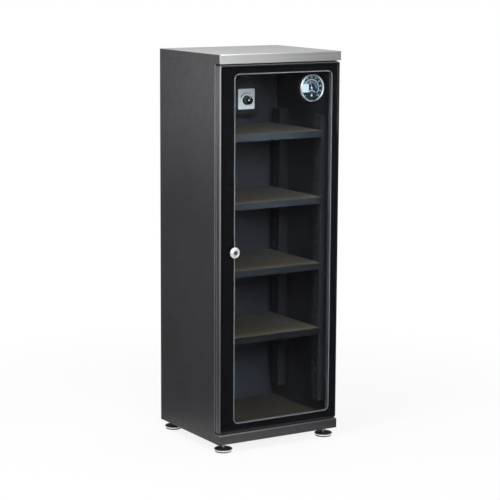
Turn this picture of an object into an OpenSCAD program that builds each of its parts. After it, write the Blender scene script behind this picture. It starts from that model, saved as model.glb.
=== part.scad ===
// Camera dry cabinet: a tall steel cabinet with a framed glass door on pin hinges,
// four adjustable shelves, a drying unit on the back wall and a dial hygrometer on the glass.
// X runs along the front, Y runs from the front to the back, Z is up and the feet stand on Z = 0.

/* [Cabinet] */
// Width over the side panels
cabinet_w = 430; // [380:1:560]
// Depth from the front of the cap to the back panel
cabinet_d = 370; // [330:1:520]
// Height from the underside of the plinth to the top
carcass_h = 1187.5; // [1000:0.5:1500]
// Thickness of the body sheet
sheet_t = 1.5; // [1:0.1:2.5]
// Height of the cap above the door
cap_h = 28.5; // [22:0.5:50]
// Thickness of the light cover on the cap
cover_t = 1.5; // [1:0.1:2.5]
// Outer radius of the folded edges
fold_r = 3; // [2.6:0.1:5]
// Height of the plinth below the door
plinth_h = 30; // [24:0.5:60]
// Width of the flange around the front opening
front_flange_w = 28; // [24:0.5:32]
// Width of the flange that holds the back panel
rear_flange_w = 14; // [12:0.5:20]

/* [Door] */
// Thickness of the door
door_t = 22; // [20:0.5:30]
// Space between the door and the body for the seal
seal_gap = 5; // [4.5:0.1:8]
// Gap above and below the door
door_gap = 4; // [3.5:0.1:8]
// Distance of the door's hinge edge from the side of the cabinet
door_inset = 3.5; // [2:0.1:6]
// Corner radius of the door seen from the front
door_corner_r = 6; // [4.5:0.1:10]
// Thickness of the door's folded sheet
door_sheet_t = 1.2; // [0.8:0.1:1.6]
// Width of the door's stiles and rails
stile_w = 26.5; // [25.5:0.5:40]
// Width of the steel lip around the glass
lip_w = 5; // [4:0.1:8]
// Thickness of the glass
glass_t = 5; // [4:0.1:6]
// Gap between the glass and the lip
glass_gap = 0.4; // [0.2:0.1:1]
// Thickness of the tape that bonds the glass to the frame
tape_t = 0.8; // [0.5:0.1:1.5]
// Width of the bonding tape
tape_w = 12; // [6:0.5:14]
// Thickness of the printed border behind the glass
print_t = 0.3; // [0.2:0.05:0.5]
// Width of the silver line
line_w = 3; // [2:0.1:6]
// Corner radius of the silver line at its middle
line_r = 20; // [8:0.5:40]
// Distance from the door's edge to the middle of the silver line
border_w = 27; // [24:0.5:60]
// The same distance on the lock side
lock_border_w = 53.6; // [50:0.1:90]
// Distance from the door's edge to the seal
seal_edge = 11; // [10.5:0.1:14]
// Width of the seal
seal_w = 12; // [9:0.5:14]
// Width of the groove that the seal is pressed into
groove_w = 6; // [4:0.1:8]
// Clearance between the closed seal and the body
seal_clear = 0.3; // [0.2:0.05:0.6]

/* [Hinge] */
// Distance from the door's edge to the hinge axis
pivot_edge = 9.5; // [9:0.1:10]
// Diameter of the hinge pins
pin_d = 6; // [4:0.1:6.2]
// Depth of the hinge pins in the door
pin_reach = 14; // [10:0.5:20]
// Diameter of the pins' heads
pin_head_d = 14; // [10:0.5:18]
// Thickness of the pins' heads
pin_head_t = 2; // [1.5:0.1:3]
// Wall of the hinge bushes
bush_wall = 1.2; // [1:0.1:1.4]
// Diameter of the bushes' flanges
bush_flange_d = 15; // [12:0.5:18]
// Thickness of the bushes' flanges
bush_flange_t = 1.2; // [0.8:0.1:1.6]

/* [Lock] */
// Height of the lock above the underside of the plinth
lock_h = 592; // [400:1:800]
// Diameter of the lock's rosette
rosette_d = 33; // [28:0.5:40]
// Thickness of the rosette
rosette_t = 3.5; // [2.5:0.1:5]
// Diameter of the raised collar around the key plug
collar_d = 22; // [20:0.5:26]
// Height of the collar in front of the glass
collar_t = 6.5; // [5.5:0.1:10]
// Diameter of the barrel through the glass
barrel_d = 19; // [17:0.1:19.5]
// Diameter of the key plug
plug_d = 13; // [11:0.1:14]
// Distance across the corners of the lock's nut
lock_nut_d = 27; // [24:0.5:32]
// Thickness of the lock's nut
lock_nut_t = 5; // [3:0.5:7]
// Length of the cam from the plug's axis to its tip
cam_l = 37; // [34:0.5:40]
// Width of the cam
cam_w = 14; // [10:0.5:16]
// Thickness of the cam
cam_t = 2; // [1.5:0.1:3]
// Clearance between the locked cam and the strike plate
cam_clear = 0.5; // [0.3:0.1:1]

/* [Hygrometer] */
// Diameter of the rim
meter_d = 84; // [70:0.5:96]
// Distance from the hinge edge of the door to the middle of the dial
meter_edge = 97; // [85:0.5:160]
// Distance from the top of the door to the middle of the dial
meter_top = 77.5; // [75:0.5:160]
// Distance from the middle of the dial down to the thermometer's pointer
thermo_drop = 23; // [18:0.5:24]

/* [Uprights] */
// Width of the channel from the side panel to its slotted face
upright_w = 32; // [24:0.5:40]
// Depth of the channel from front to back
upright_d = 40; // [30:0.5:50]
// Distance from the front opening to the front channels
upright_front = 32; // [26:0.5:60]
// Distance from the rear channels to the back panel
upright_rear = 30; // [10:0.5:50]
// Height of the channels' feet above the floor
upright_rise = 48; // [20:1:80]
// Distance between slots
slot_pitch = 26; // [20:0.5:40]
// Height of a slot
slot_h = 12; // [9:0.5:14]
// Width of a slot
slot_w = 6; // [5:0.5:9]

/* [Shelves] */
// Height of the shelves' lips
shelf_lip = 20; // [16:0.5:30]
// Thickness of the shelves' sheet
shelf_t = 1.2; // [0.8:0.1:2]
// Gap between a shelf and the slotted faces
shelf_side_gap = 1.5; // [1.4:0.1:3]
// Distance by which a shelf stands in front of the front channels
shelf_front = 9; // [0:0.5:12]
// Distance from a shelf's rear edge to the back panel
shelf_rear = 20; // [8:0.5:40]
// Thickness of the mats
mat_t = 2; // [1:0.1:4]
// Thickness of a shelf clip
clip_t = 1.2; // [0.8:0.1:1.3]
// Length of a clip's tab under the shelf
clip_reach = 9; // [6:0.5:14]

/* [Drying unit] */
// Width of the drying unit
unit_w = 214; // [200:1:240]
// Height of the drying unit
unit_h = 122; // [110:1:130]
// Depth of the drying unit
unit_d = 48; // [44:0.5:60]
// Distance of the unit's middle to the right of the cabinet's middle
unit_x = 4; // [-10:1:10]
// Distance from the ceiling down to the unit
unit_drop = 69; // [40:1:90]
// Wall of the unit's housing
unit_wall = 2; // [1.5:0.1:3]
// Corner radius of the unit's housing
unit_r = 8; // [5:0.5:12]
// Width of the control plate
plate_w = 61; // [56:0.5:64]
// Height of the control plate
plate_h = 65; // [60:0.5:80]
// Thickness of the control plate
plate_t = 1.5; // [1:0.1:2.5]
// Diameter of the humidity knob
knob_d = 30; // [26:0.5:34]
// Height of the humidity knob
knob_h = 24; // [16:0.5:28]
// Diameter of the knob's shaft
shaft_d = 6; // [4:0.1:7]

/* [Feet] */
// Height of the plinth above the ground
foot_h = 28; // [24:0.5:34]
// Diameter of a foot
foot_d = 56; // [40:0.5:60]
// Height of a foot's base
foot_base_h = 14; // [11:0.5:15]
// Diameter of the threaded stems
stem_d = 10; // [8:0.1:12]
// Distance of the feet's middles from the sides
foot_inset_x = 31; // [30:0.5:60]
// Distance of the feet's middles from the front and the back
foot_inset_y = 28; // [26:0.5:60]
// Height of the nuts that the stems turn in
foot_nut_t = 6; // [4:0.5:8]
// Distance across the corners of those nuts
foot_nut_d = 18; // [16:0.5:22]
// Distance that a foot can be screwed out
foot_travel = 12; // [4:0.5:14]

/* [Hidden] */

$fn = 48;
// Running clearance of pins, shafts and threads
run_clear = 0.05;
// Clearance of plain holes and loose seats
fit_clear = 0.3;
// Overrun of cuts
cut = 1;

// Heights
base_z = foot_h;
plinth_z = base_z + plinth_h;
top_z = base_z + carcass_h;
cap_z = top_z - cap_h;

// Places across and along the cabinet
half_w = cabinet_w / 2;
inner_x = half_w - sheet_t;
vent_proud = 2.5;
front_y = -(cabinet_d + vent_proud - collar_t) / 2;
rear_y = front_y + cabinet_d;
wall_y = rear_y - sheet_t;
body_y = front_y + door_t + seal_gap;
body_in_y = body_y + sheet_t;

// Door outline and the layers behind the glass
door_x0 = -half_w;
door_x1 = half_w - door_inset;
door_z0 = plinth_z + door_gap;
door_z1 = cap_z - door_gap;
door_rear_y = front_y + door_t;
glass_y = front_y + glass_t;
print_y = glass_y + print_t;
seat_y = print_y + tape_t;

// Hinge: the bushes stand just behind the wall that the glass is bonded to
bush_r = pin_d / 2 + bush_wall;
bush_gap = 0.1;
pivot_x = door_x1 - pivot_edge;
pivot_y = seat_y + door_sheet_t + bush_r + bush_gap;

// Lock
lock_x = door_x0 + lock_border_w;
lock_z = base_z + lock_h;
strike_t = 1.5;
strike_w = 17;
strike_h = 40;
cam_y = body_in_y + strike_t + cam_clear;
keyway_w = 1.6;
keyway_h = 8;
keyway_depth = 4;
cam_screw_d = 4;
cam_screw_head_d = 9;
cam_screw_head_t = 2;
cam_screw_l = 10;

// Hygrometer: depths count from the rear face of the glass
meter_x = door_x1 - meter_edge;
meter_z = door_z1 - meter_top;
meter_r = meter_d / 2;
rim_bevel = 2.5;
rim_edge = 0.5;
rim_w = 4.5;
rim_depth = 6;
lens_t = 1.5;
lens_depth = 3.6;
dial_depth = 8.2;
dial_t = 1;
meter_depth = 16;
meter_wall = 1.5;
dial_ledge = 4;
needle_depth = 6.3;
needle_t = 0.6;
hub_r = 2.6;
hub_t = 1.2;
spindle_r = 0.9;
humidity_rest = 15;
needle_tail = 9;
needle_root_w = 2.6;
needle_tip_w = 0.8;
needle_l_share = 0.72;
thermo_l_share = 0.26;
thermo_tail_share = 0.08;

// Uprights and slots
slot_edge = 26;
upright_z0 = plinth_z + upright_rise;
upright_front_y = body_y + upright_front;
upright_rear_y = wall_y - upright_rear - upright_d;
web_x = inner_x - upright_w;
unit_z1 = cap_z - unit_drop;
unit_z0 = unit_z1 - unit_h;
upright_drop = 168;
slot_count = 1 + floor((cap_z - upright_drop - upright_z0 - 2 * slot_edge) / slot_pitch);
upright_h = 2 * slot_edge + (slot_count - 1) * slot_pitch;
function slot_z(i) = upright_z0 + slot_edge + i * slot_pitch;

// Shelves: each stands a whole number of slots above the last
shelf_count = 4;
shelf_rise = 4;
unit_shelf_gap = 10;
top_slot = min(slot_count - 1,
    floor((unit_z0 - unit_shelf_gap - mat_t - shelf_rise - slot_z(0)) / slot_pitch));
bay_slots = floor(top_slot / shelf_count);
shelf_x = web_x - shelf_side_gap;
shelf_y0 = upright_front_y - shelf_front;
shelf_y1 = wall_y - shelf_rear;
shelf_hem = 8;
function shelf_z(n) = slot_z(n * bay_slots) + shelf_rise;
mat_inset = 1.5;
clip_w = 14;
tongue_h = 3;
tongue_drop = 4;
tongue_reach = 3;

// Drying unit
unit_x0 = unit_x - unit_w / 2;
unit_x1 = unit_x + unit_w / 2;
unit_y = wall_y - unit_d;
plate_side = 12;
plate_x = unit_x1 - plate_side - plate_w / 2;
plate_drop = 6.5;
plate_z = unit_z0 + unit_h / 2 - plate_drop;
plate_r = 3;
knob_drop = 3.5;
knob_z = plate_z - knob_drop;
knob_gap = 0.5;
knob_skirt_t = 3;
knob_taper = 1.8;
knob_grips = 20;
knob_grip_r = 1.2;
knob_mark_w = 1.4;
knob_mark_t = 0.6;
dial_body_d = 22;
dial_body_t = 12;
louvre_w = 96;
louvre_h = 3;
louvre_pitch = 8;
louvre_count = 9;
louvre_margin = 16;
lens_d = 5;
lens_edge = 10;
lens_top = 18;
lens_proud = 1.2;
cartridge_w = 104;
cartridge_h = 88;
cartridge_d = 26;
heater_t = 3;
air_gap = 6;
board_t = 1.6;
board_w = 70;
board_h = 74;
vent_w = 110;
vent_h = 62;
vent_slats = 6;
vent_slat_h = 3.5;
vent_margin = 8;
inlet_flange_t = 1.2;
inlet_rim = 2.2;
inlet_bore_d = 8;
inlet_pin_d = 2;
inlet_depth = 13;
inlet_drop = 44;
inlet_side = 22;
inlet_x = unit_x1 - inlet_side;
inlet_z = unit_z1 - inlet_drop;
lens_x = unit_x1 - lens_edge;
lens_z = unit_z1 - lens_top;
vent_z0 = unit_z0 + unit_h / 2 - vent_h / 2;
cartridge_x = unit_x0 + louvre_margin;

// Back panel screws
screw_d = 3.5;
screw_head_d = 8;
screw_head_t = 1.8;
screw_l = 7;
screw_rows = 5;
screw_end = 60;

// Feet
foot_r = foot_d / 2;
pad_edge = 1;
pad_share = 0.89;
ring_z = 3;
ring_h = 5;
ring_low_share = 0.93;
ring_high_share = 0.975;
rim_h = 1.8;
dome_share = 0.76;
neck_w = 4;
neck_h = 5;
neck_share = 0.65;
socket_h = 6;
stem_end = 4.5;
stem_up = sheet_t + foot_nut_t + foot_travel + stem_end;

// Small helpers

module box(x0, x1, y0, y1, z0, z1) {
    translate([x0, y0, z0]) cube([x1 - x0, y1 - y0, z1 - z0]);
}

// A flat outline in X and Z, made solid from y0 to y1
module slab(y0, y1) {
    translate([0, y1, 0]) rotate([90, 0, 0]) linear_extrude(y1 - y0) children();
}

// A revolved profile about an axis along Y: its points are radius and depth behind y
module turned(x, y, z) {
    translate([x, y, z]) rotate([-90, 0, 0]) rotate_extrude($fn = 72) children();
}

module rod(x, z, r, y0, y1) {
    translate([x, y0, z]) rotate([-90, 0, 0]) cylinder(r = r, h = y1 - y0);
}

module rounded(x0, x1, z0, z1, r) {
    if (r > 0) {
        translate([x0 + r, z0]) square([x1 - x0 - 2 * r, z1 - z0]);
        translate([x0, z0 + r]) square([x1 - x0, z1 - z0 - 2 * r]);
        for (x = [x0 + r, x1 - r], z = [z0 + r, z1 - r]) translate([x, z]) circle(r);
    } else {
        translate([x0, z0]) square([x1 - x0, z1 - z0]);
    }
}

// A quarter of a bent sheet, open towards +X and +Y, with its outer corner at the origin
module bend(r, t) {
    translate([r, r]) intersection() {
        difference() {
            circle(r);
            circle(r - t);
        }
        translate([-r, -r]) square(r);
    }
}

// Body

module side_panel_left() {
    fold_y = body_y + fold_r;
    color("#3b3d40") {
        translate([-half_w, 0, 0]) rotate([90, 0, 90]) linear_extrude(sheet_t) polygon([
            [front_y + sheet_t, base_z], [rear_y, base_z], [rear_y, top_z - cover_t],
            [front_y + fold_r, top_z - cover_t], [front_y + cover_t, top_z - fold_r],
            [front_y + cover_t, cap_z], [fold_y, cap_z], [fold_y, plinth_z],
            [body_y, plinth_z], [body_y, plinth_z - sheet_t],
            [front_y + fold_r, plinth_z - sheet_t], [front_y + sheet_t, plinth_z - fold_r]]);
        translate([0, 0, plinth_z]) linear_extrude(cap_z - plinth_z) {
            translate([-half_w, body_y]) bend(fold_r, sheet_t);
            translate([-half_w + fold_r, body_y]) square([front_flange_w - fold_r, sheet_t]);
        }
        difference() {
            box(-inner_x, -inner_x + rear_flange_w, wall_y - sheet_t, wall_y, plinth_z, cap_z);
            screw_holes();
        }
    }
}

module side_panel_right() {
    mirror([1, 0, 0]) side_panel_left();
}

// Places of the screws along both edges of the back panel
module at_screws() {
    step = (cap_z - plinth_z - 2 * screw_end) / (screw_rows - 1);
    for (side = [-1, 1], i = [0 : screw_rows - 1])
        translate([side * (inner_x - rear_flange_w / 2), 0, plinth_z + screw_end + i * step]) children();
}

module screw_holes() {
    at_screws() rod(0, 0, screw_d / 2 + run_clear, wall_y - sheet_t - cut, rear_y + cut);
}

module back_panel() {
    color("#3b3d40") difference() {
        box(-inner_x, inner_x, wall_y, rear_y, base_z, top_z - cover_t);
        screw_holes();
        box(unit_x - vent_w / 2 + vent_margin, unit_x + vent_w / 2 - vent_margin,
            wall_y - cut, rear_y + cut, vent_z0 + vent_margin, vent_z0 + vent_h - vent_margin);
        rod(inlet_x, inlet_z, inlet_bore_d / 2 + inlet_rim + fit_clear, wall_y - cut, rear_y + cut);
    }
}

module ceiling_panel() {
    color("#3b3d40") {
        difference() {
            box(-inner_x, inner_x, front_y + cover_t, wall_y, cap_z, cap_z + sheet_t);
            translate([pivot_x, pivot_y, cap_z - cut]) cylinder(d = pin_d + 2 * run_clear, h = sheet_t + 2 * cut);
        }
        box(-half_w + front_flange_w, half_w - front_flange_w, body_y, body_in_y, cap_z - front_flange_w, cap_z);
    }
}

module floor_panel() {
    color("#3b3d40") {
        box(-inner_x, inner_x, body_y, wall_y, plinth_z - sheet_t, plinth_z);
        box(-half_w + front_flange_w, half_w - front_flange_w, body_y, body_in_y, plinth_z,
            plinth_z + front_flange_w);
    }
}

// Light brushed cover, folded over the top and the front of the cap
module top_cover() {
    color("#b9bbbd") translate([-half_w, 0, 0]) rotate([90, 0, 90]) linear_extrude(cabinet_w) {
        translate([front_y + fold_r, top_z - cover_t]) square([cabinet_d - fold_r, cover_t]);
        translate([front_y, cap_z]) square([cover_t, cap_h - fold_r]);
        translate([front_y, top_z]) mirror([0, 1]) bend(fold_r, cover_t);
    }
}

module plinth_fascia() {
    color("#3b3d40") difference() {
        translate([-half_w, 0, 0]) rotate([90, 0, 90]) linear_extrude(cabinet_w) {
            translate([front_y + fold_r, plinth_z - sheet_t]) square([body_y - front_y - fold_r, sheet_t]);
            translate([front_y, base_z]) square([sheet_t, plinth_h - fold_r]);
            translate([front_y, plinth_z]) mirror([0, 1]) bend(fold_r, sheet_t);
        }
        translate([pivot_x, pivot_y, plinth_z - sheet_t - cut])
            cylinder(d = pin_d + 2 * run_clear, h = sheet_t + 2 * cut);
    }
}

module at_feet() {
    for (x = [-1, 1], y = [front_y + foot_inset_y, rear_y - foot_inset_y])
        translate([x * (half_w - foot_inset_x), y, 0]) children();
}

module base_pan() {
    color("#2d2f31") difference() {
        box(-inner_x, inner_x, front_y + sheet_t, wall_y, base_z, base_z + sheet_t);
        at_feet() translate([0, 0, base_z - cut]) cylinder(d = stem_d + 2 * fit_clear, h = sheet_t + 2 * cut);
    }
}

module back_screws() {
    color("#55585a") at_screws() {
        rod(0, 0, screw_d / 2, rear_y - screw_l, rear_y);
        rod(0, 0, screw_head_d / 2, rear_y, rear_y + screw_head_t);
    }
}

module strike_plate() {
    color("#8a8d90") box(-half_w + front_flange_w - strike_w - sheet_t, -half_w + front_flange_w - sheet_t,
        body_in_y, body_in_y + strike_t, lock_z - strike_h / 2, lock_z + strike_h / 2);
}

// Hinge

module hinge_pins() {
    color("#c8cacc") translate([pivot_x, pivot_y, 0]) {
        translate([0, 0, door_z1 - pin_reach]) cylinder(d = pin_d, h = cap_z + sheet_t - door_z1 + pin_reach);
        translate([0, 0, cap_z + sheet_t]) cylinder(d = pin_head_d, h = pin_head_t);
        translate([0, 0, plinth_z - sheet_t]) cylinder(d = pin_d, h = sheet_t + door_gap + pin_reach);
        translate([0, 0, plinth_z - sheet_t - pin_head_t]) cylinder(d = pin_head_d, h = pin_head_t);
    }
}

// Light washer that carries the door on the plinth
module hinge_washer() {
    color("#d9dadb") translate([pivot_x, pivot_y, plinth_z]) difference() {
        cylinder(d = bush_flange_d, h = door_gap - bush_flange_t - run_clear);
        translate([0, 0, -cut]) cylinder(d = pin_d + 2 * run_clear, h = door_gap + 2 * cut);
    }
}

module hinge_bush() {
    difference() {
        union() {
            cylinder(r = bush_r, h = pin_reach);
            translate([0, 0, -bush_flange_t]) cylinder(d = bush_flange_d, h = bush_flange_t);
        }
        translate([0, 0, -bush_flange_t - cut])
            cylinder(d = pin_d + 2 * run_clear, h = pin_reach + bush_flange_t + 2 * cut);
    }
}

module hinge_bushes() {
    color("#e4e2da") {
        translate([pivot_x, pivot_y, door_z0]) hinge_bush();
        translate([pivot_x, pivot_y, door_z1]) mirror([0, 0, 1]) hinge_bush();
    }
}

// Uprights: steel channels with a column of slots in the face that looks at the shelves

module upright(y) {
    slot_y = y + upright_d / 2;
    color("#45484b") difference() {
        union() {
            box(web_x, web_x + sheet_t, y, y + upright_d, upright_z0, upright_z0 + upright_h);
            for (leg = [y, y + upright_d - sheet_t])
                box(web_x + sheet_t, inner_x, leg, leg + sheet_t, upright_z0, upright_z0 + upright_h);
        }
        for (i = [0 : slot_count - 1])
            box(web_x - cut, web_x + sheet_t + cut, slot_y - slot_w / 2, slot_y + slot_w / 2,
                slot_z(i) - slot_h / 2, slot_z(i) + slot_h / 2);
    }
}

module upright_front_right() {
    upright(upright_front_y);
}

module upright_rear_right() {
    upright(upright_rear_y);
}

module upright_front_left() {
    mirror([1, 0, 0]) upright_front_right();
}

module upright_rear_left() {
    mirror([1, 0, 0]) upright_rear_right();
}

// Shelves: pressed steel trays, open below, with a hem under the front and rear lips

module shelf(n) {
    z = shelf_z(n);
    color("#4a5058") {
        box(-shelf_x, shelf_x, shelf_y0, shelf_y1, z - shelf_t, z);
        for (x = [-shelf_x, shelf_x - shelf_t])
            box(x, x + shelf_t, shelf_y0, shelf_y1, z - shelf_lip, z - shelf_t);
        for (y = [shelf_y0, shelf_y1 - shelf_t])
            box(-shelf_x + shelf_t, shelf_x - shelf_t, y, y + shelf_t, z - shelf_lip, z - shelf_t);
        for (y = [shelf_y0 + shelf_t, shelf_y1 - shelf_t - shelf_hem])
            box(-shelf_x + shelf_t, shelf_x - shelf_t, y, y + shelf_hem, z - shelf_lip, z - shelf_lip + shelf_t);
    }
}

module shelf_mats() {
    color("#4b463b") for (n = [1 : shelf_count])
        box(-shelf_x + mat_inset, shelf_x - mat_inset, shelf_y0 + mat_inset, shelf_y1 - mat_inset,
            shelf_z(n), shelf_z(n) + mat_t);
}

module floor_mat() {
    color("#4b463b") box(-inner_x + mat_inset, inner_x - mat_inset, body_in_y + mat_inset,
        wall_y - sheet_t - mat_inset, plinth_z, plinth_z + mat_t);
}

// A clip hooks into a slot and carries the shelf's side lip on its tab
module clip(z_slot, z_lip) {
    box(web_x - clip_t, web_x, -clip_w / 2, clip_w / 2, z_lip - clip_t, z_slot + tongue_h / 2);
    box(web_x - clip_reach, web_x - clip_t, -clip_w / 2, clip_w / 2, z_lip - clip_t, z_lip);
    box(web_x, web_x + sheet_t + tongue_reach, -slot_w / 2 + fit_clear, slot_w / 2 - fit_clear,
        z_slot - tongue_h / 2, z_slot + tongue_h / 2);
    box(web_x + sheet_t + fit_clear, web_x + sheet_t + tongue_reach, -slot_w / 2 + fit_clear,
        slot_w / 2 - fit_clear, z_slot - tongue_h / 2 - tongue_drop, z_slot - tongue_h / 2);
}

module shelf_clips() {
    color("#c8cacc") for (n = [1 : shelf_count], y = [upright_front_y, upright_rear_y], side = [0, 1])
        mirror([side, 0, 0]) translate([0, y + upright_d / 2, 0])
            clip(slot_z(n * bay_slots), shelf_z(n) - shelf_lip);
}

// Drying unit

module unit_housing() {
    color("#26282b") difference() {
        slab(unit_y, wall_y) rounded(unit_x0, unit_x1, unit_z0, unit_z1, unit_r);
        slab(unit_y + unit_wall, wall_y + cut) rounded(unit_x0 + unit_wall, unit_x1 - unit_wall,
            unit_z0 + unit_wall, unit_z1 - unit_wall, unit_r - unit_wall);
        for (i = [0 : louvre_count - 1])
            slab(unit_y - cut, unit_y + unit_wall + cut)
                rounded(unit_x0 + louvre_margin, unit_x0 + louvre_margin + louvre_w,
                    louvre_z(i), louvre_z(i) + louvre_h, louvre_h / 2 - run_clear);
        rod(plate_x, knob_z, shaft_d / 2 + fit_clear, unit_y - cut, unit_y + unit_wall + cut);
        rod(lens_x, lens_z, lens_d / 2 + run_clear, unit_y - cut, unit_y + unit_wall + cut);
    }
}

function louvre_z(i) = unit_z0 + unit_h / 2 + (i - (louvre_count - 1) / 2) * louvre_pitch - louvre_h / 2;

// Moisture from the cabinet's air collects in the cartridge and the heater drives it out at the back
module desiccant_cartridge() {
    color("#d8d5cb") box(cartridge_x, cartridge_x + cartridge_w, wall_y - air_gap - cartridge_d,
        wall_y - air_gap, unit_z0 + unit_wall, unit_z0 + unit_wall + cartridge_h);
}

module heater_plate() {
    color("#a9a9a6") box(cartridge_x, cartridge_x + cartridge_w, wall_y - air_gap - cartridge_d - heater_t,
        wall_y - air_gap - cartridge_d, unit_z0 + unit_wall, unit_z0 + unit_wall + cartridge_h);
}

module circuit_board() {
    y0 = unit_y + unit_wall + dial_body_t;
    color("#2f6b3c") box(plate_x - board_w / 2, unit_x1 - unit_wall, y0, y0 + board_t,
        plate_z - board_h / 2, plate_z + board_h / 2);
}

module control_plate() {
    color("#d2d4d3") difference() {
        slab(unit_y - plate_t, unit_y) rounded(plate_x - plate_w / 2, plate_x + plate_w / 2,
            plate_z - plate_h / 2, plate_z + plate_h / 2, plate_r);
        rod(plate_x, knob_z, shaft_d / 2 + fit_clear, unit_y - plate_t - cut, unit_y + cut);
    }
}

// Body of the humidity control behind the plate: the knob's shaft turns in it
module humidity_dial_body() {
    color("#3a3a3a") difference() {
        rod(plate_x, knob_z, dial_body_d / 2, unit_y + unit_wall, unit_y + unit_wall + dial_body_t);
        rod(plate_x, knob_z, shaft_d / 2 + run_clear, unit_y + unit_wall - cut,
            unit_y + unit_wall + dial_body_t - unit_wall);
    }
}

module humidity_knob() {
    y0 = unit_y - plate_t - knob_gap - knob_h;
    r = knob_d / 2;
    color("#1b1b1c") {
        difference() {
            turned(plate_x, y0, knob_z) polygon([[0, 0], [r - 2 * knob_taper, 0], [r - knob_taper, knob_taper],
                [r - knob_taper / 2, knob_h - knob_skirt_t], [r, knob_h - knob_skirt_t], [r, knob_h],
                [0, knob_h]]);
            for (i = [0 : knob_grips - 1]) translate([plate_x, 0, knob_z]) rotate([0, i * 360 / knob_grips, 0])
                rod(r - knob_taper / 2, 0, knob_grip_r, y0 - cut, y0 + knob_h - knob_skirt_t);
            box(plate_x - knob_mark_w / 2, plate_x + knob_mark_w / 2, y0 - cut, y0 + knob_mark_t,
                knob_z + r / 3, knob_z + r);
        }
        rod(plate_x, knob_z, shaft_d / 2, y0 + knob_h, unit_y + dial_body_t - unit_wall);
    }
}

module indicator_lens() {
    color("#8c1d1d") {
        rod(lens_x, lens_z, lens_d / 2, unit_y - lens_proud, unit_y + unit_wall);
        rod(lens_x, lens_z, lens_d / 2 + lens_proud, unit_y + unit_wall, unit_y + 2 * unit_wall);
    }
}

// Louvred outlet on the outside of the back panel
module rear_vent() {
    step = (vent_h - 2 * vent_margin) / vent_slats;
    color("#202224") difference() {
        box(unit_x - vent_w / 2, unit_x + vent_w / 2, rear_y, rear_y + vent_proud, vent_z0, vent_z0 + vent_h);
        for (i = [0 : vent_slats - 1])
            box(unit_x - vent_w / 2 + vent_margin, unit_x + vent_w / 2 - vent_margin, rear_y - cut,
                rear_y + vent_proud + cut, vent_z0 + vent_margin + (i + 0.5) * step - vent_slat_h / 2,
                vent_z0 + vent_margin + (i + 0.5) * step + vent_slat_h / 2);
    }
}

// Round low-voltage socket in the back panel
module power_inlet() {
    r = inlet_bore_d / 2 + inlet_rim;
    color("#1b1b1c") {
        difference() {
            union() {
                rod(inlet_x, inlet_z, r, rear_y - inlet_depth, rear_y + vent_proud);
                rod(inlet_x, inlet_z, r + inlet_rim, rear_y, rear_y + inlet_flange_t);
            }
            rod(inlet_x, inlet_z, inlet_bore_d / 2, rear_y - inlet_depth + inlet_rim,
                rear_y + vent_proud + cut);
        }
        rod(inlet_x, inlet_z, inlet_pin_d / 2, rear_y - inlet_depth + inlet_rim, rear_y);
    }
}

// Door

module door_outline(s) {
    rounded(door_x0 + s, door_x1 - s, door_z0 + s, door_z1 - s, max(0, door_corner_r - s));
}

// One wall of the folded door frame: a ring between two distances from the door's edge
module door_ring(s0, s1, y0, y1) {
    slab(y0, y1) difference() {
        door_outline(s0);
        door_outline(s1);
    }
}

module door_frame() {
    t = door_sheet_t;
    groove = seal_edge + (seal_w - groove_w) / 2;
    color("#3b3d40") difference() {
        union() {
            door_ring(0, t, front_y, door_rear_y);
            door_ring(0, lip_w, front_y, front_y + t);
            door_ring(lip_w - t, lip_w, front_y, seat_y + t);
            door_ring(lip_w - t, stile_w, seat_y, seat_y + t);
            door_ring(stile_w - t, stile_w, seat_y, door_rear_y);
            door_ring(0, groove, door_rear_y - t, door_rear_y);
            door_ring(groove + groove_w, stile_w, door_rear_y - t, door_rear_y);
        }
        for (z = [door_z0 - cut, door_z1 - t - cut]) translate([pivot_x, pivot_y, z])
            cylinder(r = bush_r + run_clear, h = t + 2 * cut);
    }
}

module glass_outline() {
    door_outline(lip_w + glass_gap);
}

module lock_hole() {
    rod(lock_x, lock_z, barrel_d / 2 + fit_clear, front_y - cut, print_y + cut);
}

module door_glass() {
    color("#5c6b70", 0.35) difference() {
        slab(front_y, glass_y) glass_outline();
        lock_hole();
    }
}

// The clear window, made larger or smaller by s at its edge
module window(s) {
    rounded(door_x0 + lock_border_w - s, door_x1 - border_w + s, door_z0 + border_w - s,
        door_z1 - border_w + s, line_r + s);
}

module glass_border() {
    color("#0d0d0f") difference() {
        slab(glass_y, print_y) difference() {
            glass_outline();
            window(line_w / 2);
        }
        lock_hole();
    }
}

module silver_line() {
    color("#a4a7aa") difference() {
        slab(glass_y, print_y) difference() {
            window(line_w / 2);
            window(-line_w / 2);
        }
        lock_hole();
    }
}

module glass_tape() {
    color("#161616") door_ring(lip_w + glass_gap, lip_w + glass_gap + tape_w, print_y, seat_y);
}

module door_seal() {
    groove = seal_edge + (seal_w - groove_w) / 2;
    color("#161616") {
        door_ring(seal_edge, seal_edge + seal_w, door_rear_y, body_y - seal_clear);
        door_ring(groove + fit_clear, groove + groove_w - fit_clear, door_rear_y - 2 * door_sheet_t, door_rear_y);
    }
}

// Lock

module lock_body() {
    chamfer = rosette_t / 3;
    y0 = front_y - collar_t;
    color("#c8cacc") difference() {
        union() {
            turned(lock_x, front_y - rosette_t, lock_z) polygon([[0, 0], [rosette_d / 2 - 2 * chamfer, 0],
                [rosette_d / 2, 2 * chamfer], [rosette_d / 2, rosette_t], [0, rosette_t]]);
            turned(lock_x, y0, lock_z) polygon([[0, 0], [collar_d / 2 - chamfer, 0],
                [collar_d / 2, chamfer], [collar_d / 2, collar_t - rosette_t], [0, collar_t - rosette_t]]);
            rod(lock_x, lock_z, barrel_d / 2, front_y, cam_y - fit_clear);
        }
        rod(lock_x, lock_z, plug_d / 2 + run_clear, y0 - cut, cam_y + cut);
    }
}

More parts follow.
